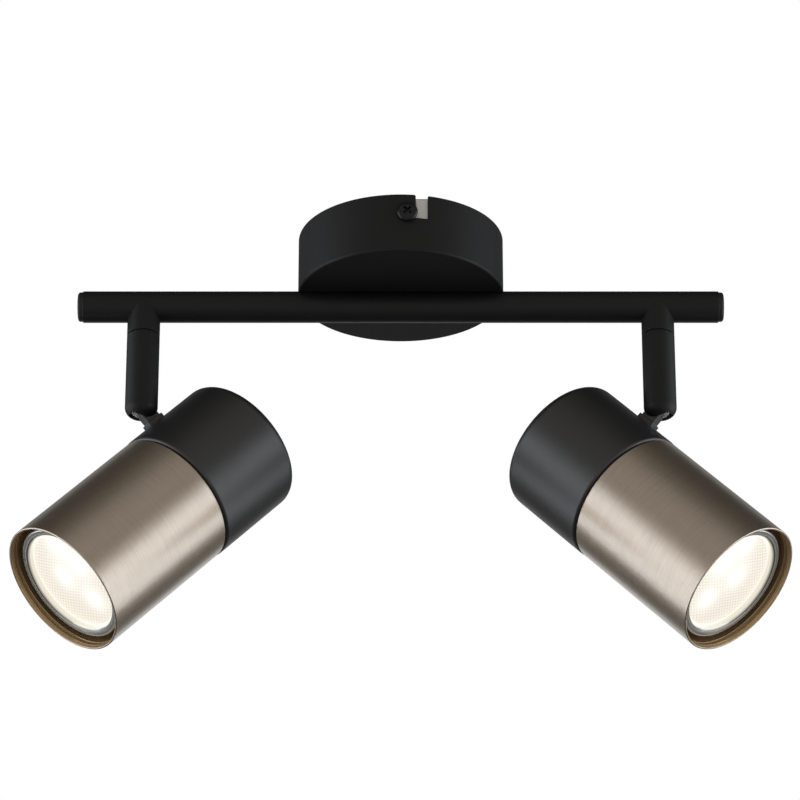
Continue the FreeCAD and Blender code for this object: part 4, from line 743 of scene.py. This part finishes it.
for side, sign in SIDES:
    outline = rounded([
        (NECK_INSIDE, NECK_BACK), (NECK_RADIUS, NECK_BACK, 0.15), (NECK_RADIUS, SHADE_BACK),
        (SHADE_RADIUS, SHADE_BACK, 0.4), (SHADE_RADIUS, OUTSIDE_RING),
        (SHADE_RADIUS, MOUTH, 0.35), (SHADE_INSIDE, MOUTH, 0.35)], 4)
    outline += [point for depth in BEAD_DEPTHS for point in bead(MOUTH - depth)]
    outline += [(SHADE_INSIDE, height) for height in INSIDE_RINGS]
    outline += [(SHADE_INSIDE, STEP_FRONT), (NECK_INSIDE, STEP_FRONT)]
    shade = turned(side + "_shade_tube", outline, gunmetal, segments=256, closed=True)
    shade.data.materials.append(bronze)
    for face in shade.data.polygons:
        inside = math.hypot(face.center.x, face.center.y) < (SHADE_INSIDE + 0.25) * MM
        face.material_index = int(inside and face.center.z > (STEP_FRONT - 0.05) * MM)
    finished(shade, [side + "_shade"], side + "_head", head_place(sign))

# Lamps: reflector lamps of the 50 mm size with two locking pins, in a ceramic holder. The glass
# bowl is silvered behind its clear rim, and a pressed lens covers three light sources.
LAMP_FACE = 77.15
LAMP_RADIUS = 25.0
BOWL_BACK = 41.15
BOWL_BACK_RADIUS = 9.5
BOWL_FRONT = 72.95
BOWL_WALL = 1.1
RIM_INSIDE = 22.3
RIM_STEP = 76.1
LEDGE_RADIUS = 20.1
LEDGE_BACK = 73.0
LENS_RADIUS = 21.3
LENS_SEAT = 74.15
LENS_THICK = 1.5
LENS_CLEARANCE = 0.05
EDGE_DROP = 1.15
CROWN_RADIUS = 190.0
FACET_PITCH = 1.65
FACET_HEIGHT = 0.12
FACET_FIELD = 20.6
# Radii in metres, between which the painted glow of lens light on the glass beside the lens ends, and the
# lens's edge brightens.
PAINTED_GLASS_GLOW = (0.0215, 0.0221)
EDGE_GLOW = (0.0203, 0.0209)
# Levels of the glass rim's bands, by radius in metres: painted highlights and painted shade along the clear
# rim's edges.
PAINTED_RIM_BANDS = ((0.0213, 0.45), (0.0222, 0.12), (0.0227, 0.85), (0.0236, 0.4), (0.0241, 0.95),
             (0.0245, 0.5), (0.0250, 0.1))
# The three light sources and the halo beside them: x, y and width of each glow, in millimetres.
HOT_SPOTS = ((14.4, -7.5, 5.8), (3.3, 1.9, 5.8), (-10.8, -4.2, 5.8), (3.0, -12.0, 6.5))


def ramp(tree, value, stops):
    """A grey ramp, given as values with the level at each."""
    low, high = stops[0][0], stops[-1][0]
    share = joined(tree, "ShaderNodeMapRange", {"Value": value, "From Min": low, "From Max": high})
    node = joined(tree, "ShaderNodeValToRGB", {"Fac": share.outputs[0]})
    node.color_ramp.interpolation = "EASE"
    while len(node.color_ramp.elements) < len(stops):
        node.color_ramp.elements.new(0.5)
    for element, (position, level) in zip(node.color_ramp.elements, stops):
        element.position = (position - low) / (high - low)
        element.color = (level, level, level, 1.0)
    return node.outputs["Color"]


def round_axis(tree):
    """A piece's own place, its part across the piece's axis, and the distance from that axis."""
    own = joined(tree, "ShaderNodeAttribute", {}, attribute_name="own").outputs["Vector"]
    axes = joined(tree, "ShaderNodeSeparateXYZ", {"Vector": own})
    flat = joined(tree, "ShaderNodeCombineXYZ", {"X": axes.outputs["X"], "Y": axes.outputs["Y"]})
    away = joined(tree, "ShaderNodeVectorMath", {0: flat.outputs["Vector"]}, operation="LENGTH")
    return own, flat.outputs["Vector"], away.outputs["Value"]


glass, glass_tree, glass_shader = new_material("silvered_glass", (0.66, 0.65, 0.62), 0.12, 0.6)
glass_own, _, glass_radius = round_axis(glass_tree)
glass_noise = joined(glass_tree, "ShaderNodeTexNoise", {"Vector": glass_own, "Scale": 60.0})
glass_tree.links.new(spread(glass_tree, glass_noise.outputs["Fac"], 0.12, 0.22),
                     glass_shader.inputs["Roughness"])
# Painted highlight and shade bands in the rim's base colour.
painted_rim_bands = ramp(glass_tree, glass_radius, PAINTED_RIM_BANDS)
glass_tree.links.new(blend_colours(glass_tree, painted_rim_bands, (0.08, 0.08, 0.075), (0.66, 0.65, 0.62)),
                     glass_shader.inputs["Base Color"])
# Painted glow: the glass beside the lens is given its own emission, as if lit by the lens.
painted_glass_glow = joined(glass_tree, "ShaderNodeMapRange", {
    "Value": glass_radius, "From Min": PAINTED_GLASS_GLOW[0], "From Max": PAINTED_GLASS_GLOW[1],
    "To Min": 1.0, "To Max": 0.0})
glass_tree.links.new(blend_colours(glass_tree, painted_glass_glow.outputs[0], (0, 0, 0), (0.62, 0.58, 0.48)),
                     glass_shader.inputs["Emission Color"])
glass_shader.inputs["Emission Strength"].default_value = 0.9
glass_shader.inputs["Thin Film Thickness"].default_value = 420.0
glass_shader.inputs["Thin Film IOR"].default_value = 1.45

# Tree for the lens's face: small pressed domes on a hexagonal grid, cut to a round field and
# bent to the lens's crown.
facet_tree, facet_in, facet_out = geometry_tree("lens_facets", [
    ("Pitch", "NodeSocketFloat", 0.00165), ("Height", "NodeSocketFloat", 0.0001),
    ("Field radius", "NodeSocketFloat", 0.02), ("Crown radius", "NodeSocketFloat", 0.19),
    ("Crown height", "NodeSocketFloat", 0.07), ("Finish", "NodeSocketMaterial", None)])
pitch = facet_in.outputs["Pitch"]


def facet_math(operation, first, second=None):
    """A Math node of the lens's tree."""
    return math_node(facet_tree, operation, first, second)


def off_axis():
    """How far each point of the lens's tree is from the Z axis, squared."""
    position = facet_tree.nodes.new("GeometryNodeInputPosition")
    axes = joined(facet_tree, "ShaderNodeSeparateXYZ", {"Vector": position.outputs["Position"]})
    return facet_math("ADD", facet_math("MULTIPLY", axes.outputs["X"], axes.outputs["X"]),
                      facet_math("MULTIPLY", axes.outputs["Y"], axes.outputs["Y"]))


# A grid of points, every other row shifted by half a pitch, without those outside the field.
facet_steps = facet_math("CEIL", facet_math("DIVIDE", facet_in.outputs["Field radius"], pitch))
facet_sides = facet_math("MULTIPLY", facet_steps, 2.0)
facet_row = facet_math("MULTIPLY", pitch, math.sqrt(0.75))
facet_count = facet_math("ADD", facet_sides, 1.0)
facet_field = joined(facet_tree, "GeometryNodeMeshGrid", {
    "Size X": facet_math("MULTIPLY", facet_sides, pitch),
    "Size Y": facet_math("MULTIPLY", facet_sides, facet_row),
    "Vertices X": facet_count, "Vertices Y": facet_count})
grid_position = facet_tree.nodes.new("GeometryNodeInputPosition")
grid_axes = joined(facet_tree, "ShaderNodeSeparateXYZ", {"Vector": grid_position.outputs["Position"]})
facet_rank = facet_math("DIVIDE", grid_axes.outputs["Y"], facet_row)
facet_odd = facet_math("PINGPONG", facet_math("ROUND", facet_rank), 1.0)
facet_shift = joined(facet_tree, "ShaderNodeCombineXYZ", {
    "X": facet_math("MULTIPLY", facet_math("MULTIPLY", facet_odd, 0.5), pitch)})
facet_staggered = joined(facet_tree, "GeometryNodeSetPosition", {
    "Geometry": facet_field.outputs["Mesh"], "Offset": facet_shift.outputs["Vector"]})
facet_reach = facet_math("SUBTRACT", facet_in.outputs["Field radius"], facet_math("MULTIPLY", pitch, 0.6))
facet_outside = facet_math("GREATER_THAN", off_axis(), facet_math("MULTIPLY", facet_reach, facet_reach))
facet_points = joined(facet_tree, "GeometryNodeDeleteGeometry", {
    "Geometry": facet_staggered.outputs["Geometry"], "Selection": facet_outside}, domain="POINT")

# One dome on a hexagon, copied to each point.
facet_disc = joined(facet_tree, "GeometryNodeMeshCircle", {
    "Vertices": 6, "Radius": facet_math("DIVIDE", pitch, math.sqrt(3))}, fill_type="TRIANGLE_FAN")
facet_split = joined(facet_tree, "GeometryNodeSubdivideMesh", {
    "Mesh": facet_disc.outputs["Mesh"], "Level": 1})
facet_away = facet_math("DIVIDE", off_axis(), facet_math("DIVIDE", facet_math("POWER", pitch, 2.0), 4.0))
facet_swell = facet_math("MULTIPLY", facet_in.outputs["Height"], facet_math(
    "MAXIMUM", facet_math("SUBTRACT", 1.0, facet_away), 0.0))
facet_lift = joined(facet_tree, "ShaderNodeCombineXYZ", {"Z": facet_swell})
facet_dome = joined(facet_tree, "GeometryNodeSetPosition", {
    "Geometry": facet_split.outputs["Mesh"], "Offset": facet_lift.outputs["Vector"]})
facet_turn = joined(facet_tree, "ShaderNodeCombineXYZ", {"Z": math.pi / 6})
facet_copies = joined(facet_tree, "GeometryNodeInstanceOnPoints", {
    "Points": facet_points.outputs["Geometry"], "Instance": facet_dome.outputs["Geometry"],
    "Rotation": facet_turn.outputs["Vector"]})
facet_real = joined(facet_tree, "GeometryNodeRealizeInstances", {
    "Geometry": facet_copies.outputs["Instances"]})

# All of it bent to the crown and merged with the lens's plate.
facet_drop = facet_math("DIVIDE", off_axis(), facet_math("MULTIPLY", facet_in.outputs["Crown radius"], 2.0))
facet_crown = joined(facet_tree, "ShaderNodeCombineXYZ", {
    "Z": facet_math("SUBTRACT", facet_in.outputs["Crown height"], facet_drop)})
facet_bent = joined(facet_tree, "GeometryNodeSetPosition", {
    "Geometry": facet_real.outputs["Geometry"], "Offset": facet_crown.outputs["Vector"]})
facet_body = joined(facet_tree, "GeometryNodeJoinGeometry", {})
facet_tree.links.new(facet_bent.outputs["Geometry"], facet_body.inputs["Geometry"])
facet_tree.links.new(facet_in.outputs["Geometry"], facet_body.inputs["Geometry"])
facet_whole = joined(facet_tree, "GeometryNodeMergeByDistance", {
    "Geometry": facet_body.outputs["Geometry"], "Distance": SAME_PLACE})
facet_done = joined(facet_tree, "GeometryNodeSetMaterial", {
    "Geometry": facet_whole.outputs["Geometry"], "Material": facet_in.outputs["Finish"]})
facet_tree.links.new(facet_done.outputs["Geometry"], facet_out.inputs["Geometry"])


def lens_material(side, sign):
    """Lit lens: warm white, a little darker between the facets, brighter at its edge and sources."""
    made, tree, shader = new_material(side + "_lit_lens", (0.2, 0.195, 0.18), 0.25)
    own, flat, away = round_axis(tree)
    waves = 0.0
    reach = 2 * math.pi / (FACET_PITCH * MM * math.sqrt(0.75))
    for turn in (-30, 30, 90):
        along = joined(tree, "ShaderNodeVectorMath", {0: own}, operation="DOT_PRODUCT")
        along.inputs[1].default_value = (
            reach * math.cos(math.radians(turn)), reach * math.sin(math.radians(turn)), 0)
        waves = math_node(tree, "ADD", math_node(tree, "COSINE", along.outputs["Value"]), waves)
    crest = joined(tree, "ShaderNodeMapRange", {"Value": waves, "From Min": -1.5, "From Max": 1.5}).outputs[0]
    glow = joined(tree, "ShaderNodeMapRange", {
        "Value": away, "From Min": EDGE_GLOW[0], "From Max": EDGE_GLOW[1], "To Max": 0.8}).outputs[0]
    for x, y, wide in HOT_SPOTS:
        apart = joined(tree, "ShaderNodeVectorMath", {0: flat}, operation="DISTANCE")
        apart.inputs[1].default_value = (x * MM, -sign * y * MM, 0)
        share = math_node(tree, "DIVIDE", apart.outputs["Value"], wide * MM)
        fall = math_node(tree, "MULTIPLY", math_node(tree, "MULTIPLY", share, share), -1.0)
        glow = math_node(tree, "ADD", glow, math_node(tree, "EXPONENT", fall))
    body = blend_colours(tree, crest, (0.67, 0.60, 0.485), (0.84, 0.80, 0.71))
    hot = blend_colours(tree, math_node(tree, "MINIMUM", glow, 1.0), body, (0.97, 0.95, 0.91))
    tree.links.new(hot, shader.inputs["Emission Color"])
    shader.inputs["Emission Strength"].default_value = 0.97
    return made


ceramic = grained("ceramic", ((0.72, 0.70, 0.64), (0.82, 0.80, 0.75)), (0.30, 0.45))
board = grained("circuit_board", ((0.70, 0.71, 0.69), (0.80, 0.81, 0.79)), (0.35, 0.5))

for side, sign in SIDES:
    place = head_place(sign)
    bowl = [(BOWL_BACK_RADIUS + (LAMP_RADIUS - BOWL_BACK_RADIUS) * (step / 12) ** 0.6,
             BOWL_BACK + (BOWL_FRONT - BOWL_BACK) * step / 12) for step in range(13)]
    inner = [(radius - BOWL_WALL, height) for radius, height in reversed(bowl[:-1])]
    outline = bowl[:-1] + rounded([
        bowl[-1], (LAMP_RADIUS, LAMP_FACE, 1.1), (RIM_INSIDE, LAMP_FACE, 0.5),
        (LENS_RADIUS + LENS_CLEARANCE, RIM_STEP, 0.4), (LENS_RADIUS + LENS_CLEARANCE, LENS_SEAT),
        (LEDGE_RADIUS, LENS_SEAT), (LEDGE_RADIUS, LEDGE_BACK)], 6) + inner
    bulb = turned(side + "_lamp_bowl", outline, glass, segments=192, closed=True)
    finished(bulb, [side + "_lamp_glass"], side + "_head", place)
    lit = lens_material(side, sign)
    crown = LENS_SEAT + LENS_THICK
    arc = [(radius, crown - radius ** 2 / (2 * CROWN_RADIUS) - 0.01)
           for radius in (0.0, 5.0, 10.0, 15.0, 18.0, 20.0)]
    lens = turned(side + "_lens_plate", arc + rounded([
        (FACET_FIELD, crown - EDGE_DROP + 0.02), (LENS_RADIUS, crown - EDGE_DROP, 0.25),
        (LENS_RADIUS, LENS_SEAT), (0.0, LENS_SEAT)]), lit, segments=128)
    grown(lens, facet_tree, {
        "Pitch": FACET_PITCH * MM, "Height": FACET_HEIGHT * MM, "Field radius": FACET_FIELD * MM,
        "Crown radius": CROWN_RADIUS * MM, "Crown height": crown * MM, "Finish": lit})
    lens.data.attributes.remove(lens.data.attributes["own"])
    keep_own_place(lens.data)
    finished(lens, [side + "_lamp_lens"], side + "_head", place, 40.0)
    painted(ceramic, side + "_lamp_holder", side + "_lamp_base")
    painted(zinc, side + "_lamp_pins")
    painted(board, side + "_led_board")

# Studio: a pale floor far below, a large soft lamp on each side and one high in front. The camera
# sees white all round, while reflections see a graded world: brightest low in front, dim overhead
# and behind, with a pale backdrop.
FLOOR_HALF = 8.0
FLOOR_LEVEL = -2.2
COOL = (0.90, 0.94, 1.0)
WARM = (1.0, 0.93, 0.84)
SIDE_LAMP_X = 0.95
SIDE_LAMP_SIZE = (1.15, 1.05)
SIDE_LAMP_LEVEL = 1.84
HIGH_LAMP_SIZE = (2.6, 0.8)
HIGH_LAMP_LEVEL = 0.30

floor_shape = bmesh.new()
bmesh.ops.create_grid(floor_shape, x_segments=1, y_segments=1, size=FLOOR_HALF)
floor_mesh = mesh_of(floor_shape, "floor")
floor_mesh.transform(Matrix.Translation((0, 0, FLOOR_LEVEL)))
floor_material, floor_tree, floor_shader = new_material("pale_floor", (0.88, 0.88, 0.88), 0.9, specular=0.1)
floor_rays = floor_tree.nodes.new("ShaderNodeLightPath")
floor_tree.links.new(blend_colours(floor_tree, floor_rays.outputs["Is Camera Ray"], (0, 0, 0), (1, 1, 1)),
                     floor_shader.inputs["Emission Color"])
floor_shader.inputs["Emission Strength"].default_value = 0.58
floor = new_piece("floor", floor_mesh, floor_material)
floor.visible_glossy = False

world = bpy.data.worlds.new("studio")
scene.world = world
world.use_nodes = True
sky = world.node_tree
sky.nodes.clear()
sky_out = sky.nodes.new("ShaderNodeOutputWorld")
sky_light = sky.nodes.new("ShaderNodeBackground")
sky.links.new(sky_light.outputs["Background"], sky_out.inputs["Surface"])
sky_place = sky.nodes.new("ShaderNodeTexCoord")
sky_axes = joined(sky, "ShaderNodeSeparateXYZ", {"Vector": sky_place.outputs["Generated"]})
backward, upward = sky_axes.outputs["Y"], sky_axes.outputs["Z"]


def patch_of(back_stops, up_stops):
    """A level of the world that varies from front to back and from low to high."""
    return math_node(sky, "MULTIPLY", ramp(sky, backward, back_stops), ramp(sky, upward, up_stops))


around = patch_of(((-1.0, 0.5), (-0.4, 0.35), (0.1, 0.15), (0.6, 0.08), (0.92, 0.15)),
                  ((-1.0, 0.4), (-0.6, 0.9), (0.0, 1.0), (0.45, 0.6), (0.9, 0.22)))
backdrop = patch_of(((0.88, 0.0), (0.98, 0.85)), ((-0.4, 0.0), (-0.1, 1.0)))
rear_top = patch_of(((0.45, 0.0), (0.75, 0.34)), ((0.3, 0.0), (0.7, 1.0)))
low_front = patch_of(((-0.75, 0.62), (-0.35, 0.0)), ((-0.8, 1.0), (-0.45, 0.0)))
warm_front = joined(sky, "ShaderNodeVectorMath", {
    0: math_node(sky, "MAXIMUM", around, low_front), 1: (1.0, 0.96, 0.90)}, operation="MULTIPLY")
studio = joined(sky, "ShaderNodeVectorMath", {
    0: warm_front.outputs["Vector"], 1: math_node(sky, "MAXIMUM", backdrop, rear_top)}, operation="MAXIMUM")
rays = sky.nodes.new("ShaderNodeLightPath")
seen = math_node(sky, "MAXIMUM", rays.outputs["Is Camera Ray"], rays.outputs["Is Transmission Ray"])
glossy = blend_colours(sky, rays.outputs["Is Glossy Ray"], (0.45, 0.45, 0.45), studio.outputs["Vector"])
sky.links.new(blend_colours(sky, seen, glossy, (1.0, 1.0, 1.0)), sky_light.inputs["Color"])


def soft_lamp(label, place, aim, size, level, tint):
    """A rectangular soft lamp of that radiance, facing a point."""
    data = bpy.data.lights.new(label, "AREA")
    data.shape = "RECTANGLE"
    data.size, data.size_y = size
    data.energy = level * math.pi * size[0] * size[1]
    data.color = tint
    lamp = bpy.data.objects.new(label, data)
    scene.collection.objects.link(lamp)
    lamp.location = place
    lamp.rotation_euler = (Vector(aim) - Vector(place)).to_track_quat("-Z", "Y").to_euler()


for side, sign in SIDES:
    soft_lamp(side + "_softbox", (sign * SIDE_LAMP_X, -0.03, -0.17), (0, -0.02, -0.12),
              SIDE_LAMP_SIZE, SIDE_LAMP_LEVEL, COOL)
soft_lamp("high_softbox", (0.0, -1.12, 1.12), (0, 0, -0.1), HIGH_LAMP_SIZE, HIGH_LAMP_LEVEL, WARM)

# Camera: below the spot bar and in front of it, looking up at it through a long lens.
camera_data = bpy.data.cameras.new("camera")
camera_data.sensor_width = 36.0
camera_data.lens = 184.53
camera_data.clip_start = 0.05
camera = bpy.data.objects.new("camera", camera_data)
scene.collection.objects.link(camera)
camera.location = (-0.0003, -1.4749, -0.7630)
camera.rotation_euler = (math.radians(90 + 25.15), 0, 0)
scene.camera = camera
scene.view_settings.view_transform = "Standard"
